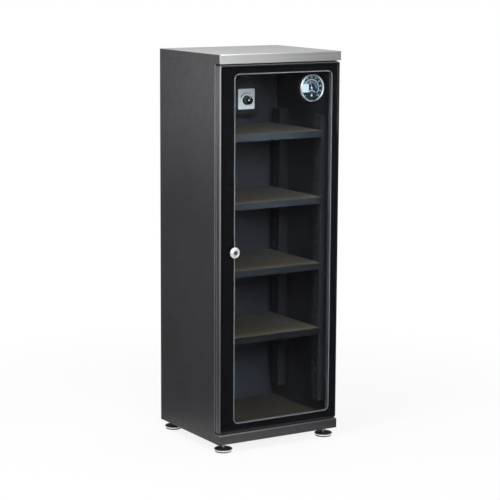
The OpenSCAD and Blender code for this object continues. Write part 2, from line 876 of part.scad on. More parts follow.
module lock_nut() {
    color("#a9acaf") difference() {
        translate([lock_x, print_y, lock_z]) rotate([-90, 0, 0]) cylinder(d = lock_nut_d, h = lock_nut_t, $fn = 6);
        rod(lock_x, lock_z, barrel_d / 2 + run_clear, print_y - cut, print_y + lock_nut_t + cut);
    }
}

// The key plug turns in the lock body and carries the cam on its rear end
module lock_plug() {
    y0 = front_y - collar_t;
    color("#d6d8da") difference() {
        rod(lock_x, lock_z, plug_d / 2, y0, cam_y);
        box(lock_x - keyway_w / 2, lock_x + keyway_w / 2, y0 - cut, y0 + keyway_depth,
            lock_z - keyway_h / 2, lock_z + keyway_h / 2);
        rod(lock_x, lock_z, cam_screw_d / 2 + run_clear, cam_y - cam_screw_l - cut, cam_y + cut);
    }
}

module lock_cam() {
    color("#a9acaf") {
        difference() {
            slab(cam_y, cam_y + cam_t) translate([lock_x, lock_z]) {
                circle(d = cam_w);
                translate([-cam_w / 2, -cam_l + cam_w / 2]) square([cam_w, cam_l - cam_w / 2]);
                translate([0, -cam_l + cam_w / 2]) circle(d = cam_w);
            }
            rod(lock_x, lock_z, cam_screw_d / 2 + run_clear, cam_y - cut, cam_y + cam_t + cut);
        }
    }
}

module cam_screw() {
    color("#c8cacc") {
        rod(lock_x, lock_z, cam_screw_d / 2, cam_y - cam_screw_l, cam_y + cam_t);
        rod(lock_x, lock_z, cam_screw_head_d / 2, cam_y + cam_t, cam_y + cam_t + cam_screw_head_t);
    }
}

// Hygrometer on the rear face of the glass

module meter_rim() {
    inner = meter_r - rim_w;
    color("#cfd2d4") turned(meter_x, glass_y, meter_z) polygon([[inner + rim_bevel, 0], [meter_r - rim_edge, 0],
        [meter_r, rim_edge], [meter_r, rim_depth], [inner + rim_bevel, rim_depth],
        [inner + rim_bevel, lens_depth], [inner, lens_depth], [inner, rim_bevel]]);
}

module meter_lens() {
    color("#c4d2d6", 0.3)
        rod(meter_x, meter_z, meter_r - rim_w + rim_bevel - run_clear, glass_y + lens_depth,
            glass_y + lens_depth + lens_t);
}

module meter_dial() {
    color("#17191b") difference() {
        rod(meter_x, meter_z, meter_r - meter_wall - fit_clear, glass_y + dial_depth, glass_y + dial_depth + dial_t);
        for (z = [meter_z, meter_z - thermo_drop])
            rod(meter_x, z, spindle_r + run_clear, glass_y, glass_y + dial_depth + dial_t + cut);
    }
}

module meter_case() {
    r = meter_r - run_clear;
    color("#1b1b1c") difference() {
        turned(meter_x, glass_y, meter_z) polygon([[0, meter_depth], [r, meter_depth], [r, rim_depth],
            [r - meter_wall, rim_depth], [r - meter_wall, dial_depth + dial_t],
            [r - dial_ledge, dial_depth + dial_t], [r - dial_ledge, meter_depth - meter_wall],
            [0, meter_depth - meter_wall]]);
        for (z = [meter_z, meter_z - thermo_drop])
            rod(meter_x, z, spindle_r + run_clear, glass_y + meter_depth - meter_wall - cut,
                glass_y + meter_depth - meter_wall / 2);
    }
}

// A pointer with its hub and its spindle, turned by an angle from straight up
module pointer(z, tip, tail, turn) {
    y = glass_y + needle_depth;
    translate([meter_x, 0, z]) rotate([0, -turn, 0]) slab(y, y + needle_t)
        polygon([[-needle_tip_w / 2, tip], [needle_tip_w / 2, tip],
            [needle_root_w / 2, -tail], [-needle_root_w / 2, -tail]]);
    rod(meter_x, z, hub_r, y, y + needle_t + hub_t);
    rod(meter_x, z, spindle_r, y + needle_t + hub_t, glass_y + meter_depth - meter_wall / 2 - run_clear);
}

module humidity_needle() {
    color("#e8e8e8") pointer(meter_z, meter_r * needle_l_share, needle_tail, humidity_rest);
}

module thermometer_needle() {
    color("#e8e8e8") pointer(meter_z - thermo_drop, meter_r * thermo_l_share, meter_r * thermo_tail_share, 0);
}

// Feet: a round base that swivels on a threaded stem, which turns in a nut on the base pan

module foot_base(x, y) {
    bore = stem_d / 2 + run_clear;
    color("#1b1b1c") translate([x, y, 0]) rotate_extrude($fn = 72) polygon([
        [0, 0], [foot_r * pad_share - pad_edge, 0], [foot_r * pad_share, pad_edge], [foot_r * pad_share, ring_z],
        [foot_r * ring_low_share, ring_z], [foot_r * ring_high_share, ring_z + ring_h], [foot_r, ring_z + ring_h],
        [foot_r, ring_z + ring_h + rim_h], [foot_r * dome_share, foot_base_h - pad_edge],
        [bore + neck_w, foot_base_h], [bore, foot_base_h], [bore, foot_base_h - socket_h],
        [0, foot_base_h - socket_h]]);
}

module foot_stem(x, y) {
    r = stem_d / 2;
    neck_z = foot_base_h - pad_edge;
    color("#c8cacc") translate([x, y, 0]) rotate_extrude() polygon([[0, foot_base_h - socket_h],
        [r, foot_base_h - socket_h], [r, neck_z - pad_edge], [r * neck_share, neck_z], [r * neck_share, neck_z + neck_h],
        [r, neck_z + neck_h + r * (1 - neck_share)], [r, base_z + stem_up], [0, base_z + stem_up]]);
}

module foot_base_front_left() {
    foot_base(-half_w + foot_inset_x, front_y + foot_inset_y);
}

module foot_base_front_right() {
    foot_base(half_w - foot_inset_x, front_y + foot_inset_y);
}

module foot_base_rear_left() {
    foot_base(-half_w + foot_inset_x, rear_y - foot_inset_y);
}

module foot_base_rear_right() {
    foot_base(half_w - foot_inset_x, rear_y - foot_inset_y);
}

module foot_stem_front_left() {
    foot_stem(-half_w + foot_inset_x, front_y + foot_inset_y);
}

module foot_stem_front_right() {
    foot_stem(half_w - foot_inset_x, front_y + foot_inset_y);
}

module foot_stem_rear_left() {
    foot_stem(-half_w + foot_inset_x, rear_y - foot_inset_y);
}

module foot_stem_rear_right() {
    foot_stem(half_w - foot_inset_x, rear_y - foot_inset_y);
}

module foot_nuts() {
    color("#a9acaf") at_feet() translate([0, 0, base_z + sheet_t]) difference() {
        cylinder(d = foot_nut_d, h = foot_nut_t, $fn = 6);
        translate([0, 0, -cut]) cylinder(d = stem_d + 2 * run_clear, h = foot_nut_t + 2 * cut);
    }
}

side_panel_left();
side_panel_right();
back_panel();
ceiling_panel();
floor_panel();
top_cover();
plinth_fascia();
base_pan();
back_screws();
strike_plate();
hinge_pins();
hinge_washer();
upright_front_left();
upright_front_right();
upright_rear_left();
upright_rear_right();
shelf(1);  // shelf_1
shelf(2);  // shelf_2
shelf(3);  // shelf_3
shelf(4);  // shelf_4
shelf_clips();
shelf_mats();
floor_mat();
unit_housing();
desiccant_cartridge();
heater_plate();
circuit_board();
control_plate();
humidity_dial_body();
indicator_lens();
rear_vent();
power_inlet();
humidity_knob();
door_frame();
door_glass();
glass_border();
silver_line();
glass_tape();
door_seal();
hinge_bushes();
lock_body();
lock_nut();
lock_plug();
lock_cam();
cam_screw();
meter_rim();
meter_lens();
meter_dial();
meter_case();
humidity_needle();
thermometer_needle();
foot_base_front_left();
foot_base_front_right();
foot_base_rear_left();
foot_base_rear_right();
foot_stem_front_left();
foot_stem_front_right();
foot_stem_rear_left();
foot_stem_rear_right();
foot_nuts();
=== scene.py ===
import math
import bmesh
import bpy
import numpy as np
from mathutils import Matrix, Vector


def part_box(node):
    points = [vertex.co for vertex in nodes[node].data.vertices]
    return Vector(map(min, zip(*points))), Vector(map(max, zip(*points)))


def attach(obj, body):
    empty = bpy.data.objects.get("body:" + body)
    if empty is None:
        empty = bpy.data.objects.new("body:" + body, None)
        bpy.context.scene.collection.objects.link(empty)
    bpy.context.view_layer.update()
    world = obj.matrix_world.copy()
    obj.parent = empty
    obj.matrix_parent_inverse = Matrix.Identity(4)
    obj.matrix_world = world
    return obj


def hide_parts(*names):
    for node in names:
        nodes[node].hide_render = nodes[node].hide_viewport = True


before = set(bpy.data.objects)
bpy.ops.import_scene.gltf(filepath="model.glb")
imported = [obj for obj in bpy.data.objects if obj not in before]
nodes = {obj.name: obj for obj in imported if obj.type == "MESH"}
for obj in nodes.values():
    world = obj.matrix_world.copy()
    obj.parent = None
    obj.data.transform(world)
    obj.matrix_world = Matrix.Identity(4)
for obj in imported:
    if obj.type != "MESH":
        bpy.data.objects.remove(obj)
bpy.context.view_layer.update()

mm = 0.001
corners = ("front_left", "front_right", "rear_left", "rear_right")
shelves = ["shelf_" + number for number in "1234"]
print("dry cabinet: frame loaded with", len(nodes), "nodes")


def cornersOf(name):
    # a CAD node's lowest and highest corner in millimetres, to a hundredth
    return [[round(value / mm, 2) for value in corner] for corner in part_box(name)]


def middleOf(name, axes):
    # the middle of a CAD node's box along the named axes
    low, high = cornersOf(name)
    return tuple(round((low["xyz".index(k)] + high["xyz".index(k)]) / 2, 2) for k in axes)


def frontOf(name):
    return cornersOf(name)[0][1]


def placed(name, data):
    # a new object with the data, in the scene
    item = bpy.data.objects.new(name, data)
    bpy.context.scene.collection.objects.link(item)
    return item


# Camera

cameraSet = {
    "place": (-2.914666, -4.799401, 1.539572),  # metres
    "yaw": 31.296418,  # degrees, turned from +Y towards +X
    "pitch": 9.611431,  # degrees, looking down
    "roll": 0.285959,
    "lens": 130.502,  # millimetres
    "sensor": 36,
    "reach": 100,  # metres
}


def makeCamera(place, yaw, pitch, roll, lens, sensor, reach):
    # forward = (sin yaw cos pitch, cos yaw cos pitch, -sin pitch); right = (cos yaw, -sin yaw, 0);
    # up = right x forward; the last two are then rolled about forward
    yaw, pitch, roll = (math.radians(turn) for turn in (yaw, pitch, roll))
    level = math.cos(pitch)
    forward = np.array([math.sin(yaw) * level, math.cos(yaw) * level, -math.sin(pitch)])
    right = np.array([math.cos(yaw), -math.sin(yaw), 0])
    up = np.cross(right, forward)
    turn = np.eye(4)
    turn[:3, 0] = right * math.cos(roll) + up * math.sin(roll)
    turn[:3, 1] = up * math.cos(roll) - right * math.sin(roll)
    turn[:3, 2], turn[:3, 3] = -forward, place
    data = bpy.data.cameras.new("photoCamera")
    data.lens, data.sensor_width, data.sensor_fit = lens, sensor, "HORIZONTAL"
    data.clip_end = reach
    camera = placed("photoCamera", data)
    camera.matrix_world = Matrix(turn.tolist())
    bpy.context.scene.camera = camera


makeCamera(**cameraSet)


# Steps that the finishes are made of; look is a material, or the world

def rgb(r, g, b):
    # a colour picked as 0-255 screen values, through the sRGB curve to linear light
    c = np.array([r, g, b]) / 255
    return (*np.where(c <= 0.04045, c / 12.92, ((c + 0.055) / 1.055) ** 2.4).tolist(), 1)


def titled(slot):
    # satin_chrome becomes satinChrome
    first, *rest = slot.split("_")
    return first + "".join(word.title() for word in rest)


def socketOf(look, name):
    return look.node_tree.nodes["Principled BSDF"].inputs[name]


def newLook(slot, colour, rough, metal=0.0, **more):
    look = bpy.data.materials.new(titled(slot))
    look.use_nodes = True
    look.diffuse_color = colour
    more.update({"Base_Color": colour, "Roughness": rough, "Metallic": metal})
    for socket, value in more.items():
        socketOf(look, socket.replace("_", " ")).default_value = value
    return look


def wire(look, output, socket):
    look.node_tree.links.new(output, socket)


def step(look, kind, inputs, output=0, **settings):
    # a new shader node; each of its inputs takes a value, or what another node puts out
    node = look.node_tree.nodes.new("ShaderNode" + kind)
    for name, value in settings.items():
        setattr(node, name, value)
    for socket, value in inputs.items():
        if hasattr(value, "links"):
            wire(look, value, node.inputs[socket])
        else:
            node.inputs[socket].default_value = value
    return node.outputs[output]


def where(look, scale=(1, 1, 1), turn=(0, 0, 0)):
    # Object coordinates in metres, turned and scaled
    spot = step(look, "TexCoord", {}, "Object")
    return step(look, "Mapping", {"Vector": spot, "Rotation": turn, "Scale": scale})


def grain(look, spot, scale, detail=3, rough=0.6):
    inputs = {"Vector": spot, "Scale": scale, "Detail": detail, "Roughness": rough}
    return step(look, "TexNoise", inputs, "Fac")


def pebbles(look, spot, scale):
    return step(look, "TexVoronoi", {"Vector": spot, "Scale": scale}, "Distance", feature="SMOOTH_F1")


def ranged(look, value, low, high, start=0.3, end=0.7, kind="LINEAR"):
    # from low to high as the value goes from start to end
    inputs = {"Value": value, "From Min": start, "From Max": end, "To Min": low, "To Max": high}
    return step(look, "MapRange", inputs, "Result", interpolation_type=kind)


def sums(look, kind, a, b):
    return step(look, "Math", {0: a, 1: b}, operation=kind)


def alongAxis(look, vector, axis):
    return step(look, "SeparateXYZ", {0: vector}, axis)


def colourMix(look, factor, dark, light):
    # the base colour goes from dark to light as the factor goes from 0 to 1
    mixed = step(look, "Mix", {0: factor, 6: dark, 7: light}, 2, data_type="RGBA")
    wire(look, mixed, socketOf(look, "Base Color"))


def roughened(look, value):
    wire(look, value, socketOf(look, "Roughness"))


def bumped(look, height, strength, depth):
    bump = step(look, "Bump", {"Height": height, "Strength": strength, "Distance": depth * mm})
    wire(look, bump, socketOf(look, "Normal"))


def band(look, axis, start, end, low=0, high=1):
    # from low to high as the coordinate goes from start to end, in millimetres; the axis Side counts
    # outwards from the middle on both sides
    place = alongAxis(look, where(look), "X" if axis == "Side" else axis)
    if axis == "Side":
        place = sums(look, "ABSOLUTE", place, 0)
    return ranged(look, place, low, high, start * mm, end * mm)


def repainted(look, layers):
    # in each layer the colour so far gives way to the tone as the product of the bands goes from 0 to 1
    for tone, *bands in layers:
        mask = band(look, *bands[0])
        for more in bands[1:]:
            mask = sums(look, "MULTIPLY", mask, band(look, *more))
        colourMix(look, mask, socketOf(look, "Base Color").links[0].from_socket, rgb(*tone))


# Finishes. Each layer is a tone and the bands that it lies in, as rgb() and band() read them: painted
# highlights where light catches folds and lips, painted shade where little light reaches, and a dark seam

powderSet = {
    "peelScale": 900,  # waves in a metre, in all noise scales
    "fineScale": 3200,
    "slowScale": 3.5,
    "glossScale": 40,
    "fineTone": 0.12,
    "fineHeight": 0.4,
    "glossSpread": 0.05,
    "depth": 0.12,  # millimetres
    "finishes": {
        "body_paint": {"dark": rgb(35, 35, 38), "light": rgb(43, 43, 47), "rough": 0.46, "bump": 0.22},
        "door_paint": {"dark": rgb(46, 46, 48), "light": rgb(54, 54, 56), "rough": 0.4, "bump": 0.18},
        "plinth_paint": {"dark": rgb(50, 50, 53), "light": rgb(59, 59, 62), "rough": 0.4, "bump": 0.18},
        "inner_paint": {"dark": rgb(27, 29, 32), "light": rgb(34, 36, 41), "rough": 0.42, "bump": 0.2},
        "unit_paint": {"dark": rgb(27, 29, 32), "light": rgb(34, 36, 41), "rough": 0.42, "bump": 0.2},
        "back_paint": {"dark": rgb(35, 38, 44), "light": rgb(42, 46, 53), "rough": 0.46, "bump": 0.2},
        "shelf_paint": {"dark": rgb(46, 52, 59), "light": rgb(54, 61, 69), "rough": 0.45, "bump": 0.15,
                        "Specular_IOR_Level": 0.25},
    },
}
layerSet = {
    "body_paint": [
        # painted highlight along the side panels' folds beside the door, brightest high up, and the dark
        # seam under the cap
        ((160, 160, 163), ("Side", 214, 214.5), ("Y", -156.8, -156.3), ("Y", -155.2, -152.6, 1, 0),
         ("Z", 300, 1000, 0.4, 1), ("Z", 58, 60), ("Z", 1185, 1186, 1, 0)),
        ((10, 10, 11), ("Side", 214, 214.5), ("Z", 1185.8, 1186.3), ("Z", 1187.1, 1187.6, 1, 0)),
    ],
    "door_paint": [
        # painted highlights on the lock side's front fold and rear edge, brightest high up; painted shade on
        # the other front lips; painted light on the inner wall and a painted highlight on the top fold
        ((126, 126, 129), ("X", -211, -208.5, 1, 0), ("Y", -182.2, -180.9, 1, 0),
         ("Z", 300, 1000, 0.2, 1)),
        ((104, 104, 107), ("X", -211, -208.5, 1, 0), ("Y", -166.4, -164.6)),
        ((9, 9, 10), ("X", -211, -208.5), ("Y", -182.2, -180.9, 1, 0)),
        ((66, 71, 79), ("X", 180, 181), ("X", 185.4, 185.9, 1, 0), ("Z", 88.6, 90),
         ("Z", 1155, 1156.4, 1, 0), ("Z", 300, 1000, 0.5, 1)),
        ((88, 88, 90), ("X", -211, -208.5), ("Z", 1180.4, 1181.4)),
    ],
    "plinth_paint": [
        # painted shade growing towards the hinge side, and a painted highlight along the upper fold
        ((40, 40, 42), ("X", -215, 215)),
        ((112, 112, 115), ("Z", 55, 55.8), ("X", -215, 215, 1, 0.4)),
    ],
    "shelf_paint": [
        # painted shade: darker the lower the shelf hangs, and towards the hinge side
        ((16, 18, 21), ("Z", 900, 330)),
        ((16, 18, 21), ("X", -60, 200, 0, 0.7)),
    ],
    "unit_paint": [
        # painted light under the ceiling, and a painted shadow along the lower edge
        ((48, 50, 55), ("Z", 1040, 1118)),
        ((8, 8, 10), ("Z", 1007, 1003)),
    ],
    "brushed_cover": [
        # painted light on the front lip, brighter at the lock side and shaded towards the hinge side
        ((190, 191, 193), ("Y", -182.5, -181.7, 1, 0), ("X", 120, -215)),
        ((134, 138, 140), ("Y", -182.5, -181.7, 1, 0), ("X", 0, 215, 0, 0.5)),
    ],
    "mat": [
        # painted light towards the door, and painted shade at the rear
        ((80, 75, 63), ("Y", -85, -152)),
        ((34, 30, 23), ("Y", -20, 170)),
    ],
    "rim_chrome": [
        # painted darker reflection towards the top and the bottom of the circle
        ((128, 131, 135), ("Z", 1080.3, 1065.6)),
        ((128, 131, 135), ("Z", 1130.7, 1145.4)),
    ],
}


def powderLook(slot, spec, dark, light, rough, bump, **more):
    # orange peel of about 1 mm, finer specks on it and slow changes of tone from panel to panel
    look = newLook(slot, light, rough, **more)
    spot = where(look)
    peel, fine = (grain(look, spot, spec[k], detail=2) for k in ("peelScale", "fineScale"))
    slow = grain(look, spot, spec["slowScale"])
    tone = sums(look, "ADD", slow, ranged(look, fine, -spec["fineTone"], spec["fineTone"]))
    colourMix(look, ranged(look, tone, 0, 1), dark, light)
    gloss = grain(look, spot, spec["glossScale"], detail=4)
    roughened(look, ranged(look, gloss, rough - spec["glossSpread"], rough + spec["glossSpread"]))
    height = sums(look, "ADD", peel, ranged(look, fine, 0, spec["fineHeight"]))
    bumped(look, height, bump, spec["depth"])
    return look


brushedSet = {
    "dark": rgb(156, 156, 156),
    "light": rgb(176, 176, 176),
    "metal": 0.45,
    "rough": (0.34, 0.5),
    "streakScale": (3, 900, 900),  # long along X, fine across it
    "broadScale": (1.2, 160, 160),
    "share": 0.65,  # of the streaks in the tone
    "bump": 0.25,
    "depth": 0.05,
}


def brushedLook(slot, dark, light, metal, rough, streakScale, broadScale, share, bump, depth):
    # long streaks along X: noise squeezed hard across the grain, in tone, gloss and height
    look = newLook(slot, light, sum(rough) / 2, metal)
    streaks = grain(look, where(look, streakScale), 1, rough=0.7)
    broad = grain(look, where(look, broadScale), 1, detail=2)
    both = sums(look, "ADD", ranged(look, streaks, 0, share), ranged(look, broad, 0, 1 - share))
    colourMix(look, both, dark, light)
    roughened(look, ranged(look, streaks, *rough))
    bumped(look, streaks, bump, depth)
    return look


feltSet = {
    "dark": rgb(41, 36, 26),
    "light": rgb(58, 51, 38),
    "rough": 0.95,
    "sheen": {"Sheen_Weight": 0.03, "Sheen_Roughness": 0.5, "Specular_IOR_Level": 0.1},
    "fibres": (((700, 2600, 2600), (0, 0, 0.6)), ((2600, 700, 2600), (0, 0, 0.3))),  # scale and turn
    "napScale": 60,
    "share": 0.6,  # of the fibres in the tone
    "span": (0.12, 0.42),  # values of the crossed fibres
    "napHeight": 0.3,
    "bump": 0.7,
    "depth": 0.5,
}


def feltLook(slot, dark, light, rough, sheen, fibres, napScale, share, span, napHeight, bump, depth):
    # short matted fibres: stretched noise at two angles over a soft nap
    look = newLook(slot, light, rough, **sheen)
    lines = [grain(look, where(look, scale, turn), 1, rough=0.7) for scale, turn in fibres]
    nap = grain(look, where(look), napScale, detail=4)
    crossed = sums(look, "MULTIPLY", *lines)
    tone = sums(look, "ADD", ranged(look, crossed, 0, share, *span), ranged(look, nap, 0, 1 - share))
    colourMix(look, tone, dark, light)
    height = sums(look, "ADD", crossed, ranged(look, nap, 0, napHeight))
    bumped(look, height, bump, depth)
    return look


platedSet = {
    "middle": (0.55, 0.56, 0.58, 1),
    "dark": (0.42, 0.43, 0.46, 1),
    "light": (0.62, 0.63, 0.64, 1),
    "rough": (0.22, 0.4),
    "spangleScale": 420,
    "fineScale": 900,
    "bump": 0.1,
    "depth": 0.03,
}


def platedLook(slot, middle, dark, light, rough, spangleScale, fineScale, bump, depth):
    # zinc plate: spangle as smooth cells in tone and gloss
    look = newLook(slot, middle, rough[0], 1.0)
    spot = where(look)
    cells = pebbles(look, spot, spangleScale)
    colourMix(look, cells, dark, light)
    roughened(look, ranged(look, cells, *rough, 0, 1))
    bumped(look, grain(look, spot, fineScale), bump, depth)
    return look


glassSet = {
    "middle": (0.905, 0.94, 0.965, 1),
    "dark": (0.895, 0.935, 0.96, 1),
    "light": (0.91, 0.945, 0.97, 1),
    "index": 1.5,
    "wipeScale": 7,
}


def glassLook(slot, middle, dark, light, index, wipeScale):
    # clear glass with faint wipe marks in its tint
    look = newLook(slot, middle, 0.0, IOR=index, Transmission_Weight=1.0)
    colourMix(look, grain(look, where(look), wipeScale, detail=2), dark, light)
    return look


smoothSet = {
    "cloudScale": 35,
    "glossScale": 120,
    "glossSpread": 0.25,  # share of the roughness
    "least": 0.02,
    "bump": 0.12,
    "finishes": {
        "satin_chrome": {"dark": rgb(226, 227, 229), "light": rgb(240, 241, 243), "rough": 0.2,
                         "metal": 0.4, "depth": 0.01, "Coat_Weight": 0.8, "Coat_Roughness": 0.06},
        "plug_chrome": {"dark": rgb(92, 94, 97), "light": rgb(112, 114, 118), "rough": 0.3,
                        "metal": 0.5, "depth": 0.01},
        "rim_chrome": {"dark": rgb(206, 209, 213), "light": rgb(222, 225, 229), "rough": 0.24,
                       "metal": 0.6, "depth": 0.01, "Coat_Weight": 1.0, "Coat_Roughness": 0.1},
        "chrome": {"dark": (0.80, 0.81, 0.83, 1), "light": (0.88, 0.89, 0.9, 1), "rough": 0.08,
                   "metal": 1.0, "depth": 0.01},
        "border_print": {"dark": rgb(11, 11, 13), "light": rgb(15, 15, 17), "rough": 0.6,
                         "Specular_IOR_Level": 0.0},
        "silver_print": {"dark": rgb(112, 112, 115), "light": rgb(122, 122, 124), "rough": 0.6,
                         "Specular_IOR_Level": 0.1},
        "rubber": {"dark": rgb(18, 18, 19), "light": rgb(25, 25, 26), "rough": 0.75,
                   "speckScale": 1500, "depth": 0.06, "Specular_IOR_Level": 0.3},
        "black_plastic": {"dark": rgb(27, 27, 28), "light": rgb(36, 36, 38), "rough": 0.42,
                          "speckScale": 2200, "depth": 0.05},
        "gloss_black": {"dark": rgb(8, 9, 11), "light": rgb(13, 14, 16), "rough": 0.3,
                        "depth": 0.01, "Coat_Weight": 1.0, "Coat_Roughness": 0.16},
        "pale_plate": {"dark": rgb(236, 245, 249), "light": rgb(246, 253, 255), "rough": 0.38, "metal": 0.2},
        "red_lens": {"dark": rgb(84, 20, 22), "light": rgb(112, 26, 28), "rough": 0.15,
                     "Transmission_Weight": 0.25},
        "desiccant": {"dark": rgb(150, 148, 140), "light": rgb(176, 174, 166), "rough": 0.8,
                      "speckScale": 400, "depth": 0.3},
        "heater": {"dark": (0.55, 0.55, 0.56, 1), "light": (0.7, 0.7, 0.7, 1), "rough": 0.35, "metal": 1.0},
        "board": {"dark": rgb(20, 70, 44), "light": rgb(34, 92, 58), "rough": 0.35},
        "nylon": {"dark": rgb(34, 34, 36), "light": rgb(44, 44, 46), "rough": 0.45},
        "needle": {"dark": rgb(120, 132, 140), "light": rgb(138, 150, 158), "rough": 0.35, "metal": 0.3},
        "hub": {"dark": rgb(222, 230, 235), "light": rgb(236, 242, 246), "rough": 0.25, "metal": 0.2},
        "dial": {"dark": rgb(12, 22, 28), "light": rgb(20, 32, 38), "rough": 0.5,
                 "Specular_IOR_Level": 0.15},
        "dial_marks": {"dark": rgb(180, 194, 202), "light": rgb(196, 210, 218), "rough": 0.5},
        "dial_band": {"dark": rgb(72, 88, 98), "light": rgb(84, 100, 110), "rough": 0.5},
        "dial_arc": {"dark": rgb(126, 142, 152), "light": rgb(142, 158, 168), "rough": 0.5,
                     "Specular_IOR_Level": 0.15},
        "dial_panel": {"dark": rgb(182, 194, 202), "light": rgb(196, 208, 215), "rough": 0.45},
        "scale_print": {"dark": rgb(30, 40, 42), "light": rgb(40, 50, 52), "rough": 0.5},
    },
}


def smoothLook(slot, spec, dark, light, rough, metal=0.0, speckScale=600, depth=0.02, **more):
    # a moulded or polished face: faint clouding of tone and gloss, and a very shallow ripple
    look = newLook(slot, light, rough, metal, **more)
    spot, spread = where(look), spec["glossSpread"]
    colourMix(look, grain(look, spot, spec["cloudScale"]), dark, light)
    gloss = grain(look, spot, spec["glossScale"], detail=4)
    roughened(look, ranged(look, gloss, max(rough * (1 - spread), spec["least"]), rough * (1 + spread)))
    bumped(look, grain(look, spot, speckScale), spec["bump"], depth)
    return look


def makeLooks():
    made = {
        "brushed_cover": brushedLook("brushed_cover", **brushedSet),
        "plated_steel": platedLook("plated_steel", **platedSet),
        "mat": feltLook("mat", **feltSet),
        "glass": glassLook("glass", **glassSet),
    }
    for maker, spec in ((powderLook, powderSet), (smoothLook, smoothSet)):
        made.update({slot: maker(slot, spec, **finish) for slot, finish in spec["finishes"].items()})
    for slot, layers in layerSet.items():
        repainted(made[slot], layers)
    return made


looks = makeLooks()
print("dry cabinet: finishes made")


# Shapes; all sizes are in millimetres

def softened(points, radii, steps=4):
    # every corner of a closed outline becomes an arc of its own radius: from the corner the tangent
    # points lie radius / tan(half the angle) along both sides, and the arc turns between them
    straight, most = 0.99999, 0.48  # the cosine of a straight corner, the share of a side for one arc
    least = 1e-9  # length of the middle direction, which is nothing at a straight corner
    p = np.asarray(points, float)
    radii = np.broadcast_to(np.asarray(radii, float), len(p))
    back, on = np.roll(p, 1, 0) - p, np.roll(p, -1, 0) - p
    backLength, onLength = np.linalg.norm(back, axis=1), np.linalg.norm(on, axis=1)
    back, on = back / backLength[:, None], on / onLength[:, None]
    half = np.arccos(np.clip((back * on).sum(1), -straight, straight)) / 2
    reach = np.minimum(radii / np.tan(half), most * np.minimum(backLength, onLength))
    radius = reach * np.tan(half)
    middle = back + on
    middle /= np.maximum(np.linalg.norm(middle, axis=1), least)[:, None]
    centre = p + middle * (radius / np.sin(half))[:, None]
    first, last = p + back * reach[:, None] - centre, p + on * reach[:, None] - centre
    sweep = (math.pi - 2 * half)[:, None, None]
    t = np.linspace(0, 1, steps)[None, :, None]
    arc = (np.sin((1 - t) * sweep) * first[:, None] + np.sin(t * sweep) * last[:, None]) / np.sin(sweep)
    return (arc + centre[:, None]).reshape(-1, 2)


def roundRing(outlines, across, steps, axis="y"):
    # row i is the rounded rectangle outlines[i] = (a0, a1, b0, b1, r) at depth across[i]: each corner's
    # centre lies r inside the corner, and the row runs r (cos t, sin t) about it for a quarter turn
    a0, a1, b0, b1, r = (np.asarray(outlines, float).T[:, :, None, None])
    signA, signB = (np.array(signs)[None, :, None] for signs in ([1, -1, -1, 1], [1, 1, -1, -1]))
    t = (np.arange(4)[:, None] * math.pi / 2 + np.linspace(0, math.pi / 2, steps)[None, :])[None]
    a = np.where(signA > 0, a1, a0) - signA * r + r * np.cos(t)
    b = np.where(signB > 0, b1, b0) - signB * r + r * np.sin(t)
    depth = np.broadcast_to(np.asarray(across, float)[:, None, None], a.shape)
    order = (a, depth, b) if axis == "y" else (a, b, depth)
    return np.stack(order, -1).reshape(len(outlines), -1, 3)


def insetRing(outline, profile, front, steps):
    # a profile of (inset, depth) carried round a rounded rectangle: the rectangle shrinks by the inset,
    # and its corner radius with it, down to a sharp mitre
    x0, x1, z0, z1, r = outline
    s, d = np.asarray(profile, float).T
    rows = np.stack([x0 + s, x1 - s, z0 + s, z1 - s, np.maximum(r - s, 0)], -1)
    return roundRing(rows, front + d, steps)


def turnedForm(profile, centre, axis, steps):
    # a profile of (radius, place along the axis) turned once round the axis through the centre
    r, h = np.asarray(profile, float).T
    t = np.linspace(0, 2 * math.pi, steps, endpoint=False)
    a, b = r[:, None] * np.cos(t), r[:, None] * np.sin(t)
    along = np.broadcast_to(h[:, None], a.shape)
    if axis == "y":
        return np.stack([centre[0] + a, along, centre[1] + b], -1)
    return np.stack([centre[0] + a, centre[1] + b, along], -1)


def boxes(centres, halves, turns, plane):
    # thin blocks, one for each centre (x, z): corner signs times half sizes, turned clockwise from up,
    # with their front and back on the two given depths
    signs = np.array([[-1, -1], [1, -1], [1, 1], [-1, 1]])
    centres, halves, turns = (np.asarray(v, float) for v in (centres, halves, turns))
    local = signs[None] * halves[:, None]
    c, s = np.cos(turns)[:, None], np.sin(turns)[:, None]
    x = centres[:, None, 0] + local[..., 0] * c + local[..., 1] * s
    z = centres[:, None, 1] - local[..., 0] * s + local[..., 1] * c
    near, far = (np.stack([x, np.full_like(x, y), z], -1) for y in plane)
    verts = np.concatenate([near, far], 1).reshape(-1, 3)
    faces = np.array([[0, 1, 2, 3], [7, 6, 5, 4], [0, 4, 5, 1], [1, 5, 6, 2], [2, 6, 7, 3], [3, 7, 4, 0]])
    return verts, (faces[None] + 8 * np.arange(len(centres))[:, None, None]).reshape(-1, 4).tolist()


def quads(rows, cols, wrapRows, wrapCols):
    i, j = np.meshgrid(np.arange(rows - (not wrapRows)), np.arange(cols - (not wrapCols)), indexing="ij")
    k, m = (i + 1) % rows, (j + 1) % cols
    return np.stack([i * cols + j, i * cols + m, k * cols + m, k * cols + j], -1).reshape(-1, 4)


def surface(grid, wrapRows=False, wrapCols=True, caps=False):
    # a grid of points as vertices and quads, with a flat face over the first and last row if asked
    rows, cols = grid.shape[:2]
    faces = quads(rows, cols, wrapRows, wrapCols).tolist()
    if caps:
        faces += [list(range(cols))[::-1], list(range((rows - 1) * cols, rows * cols))]
    return grid.reshape(-1, 3), faces


def joined(parts):
    # several (vertices, faces) put into one pair
    starts = np.cumsum([0] + [len(verts) for verts, faces in parts]).tolist()
    shifted = [[k + start for k in face] for (verts, faces), start in zip(parts, starts) for face in faces]
    return np.concatenate([verts for verts, faces in parts]), shifted


mendSet = {
    "weld": 2e-6,  # metres
    "sliver": 1e-7,
}


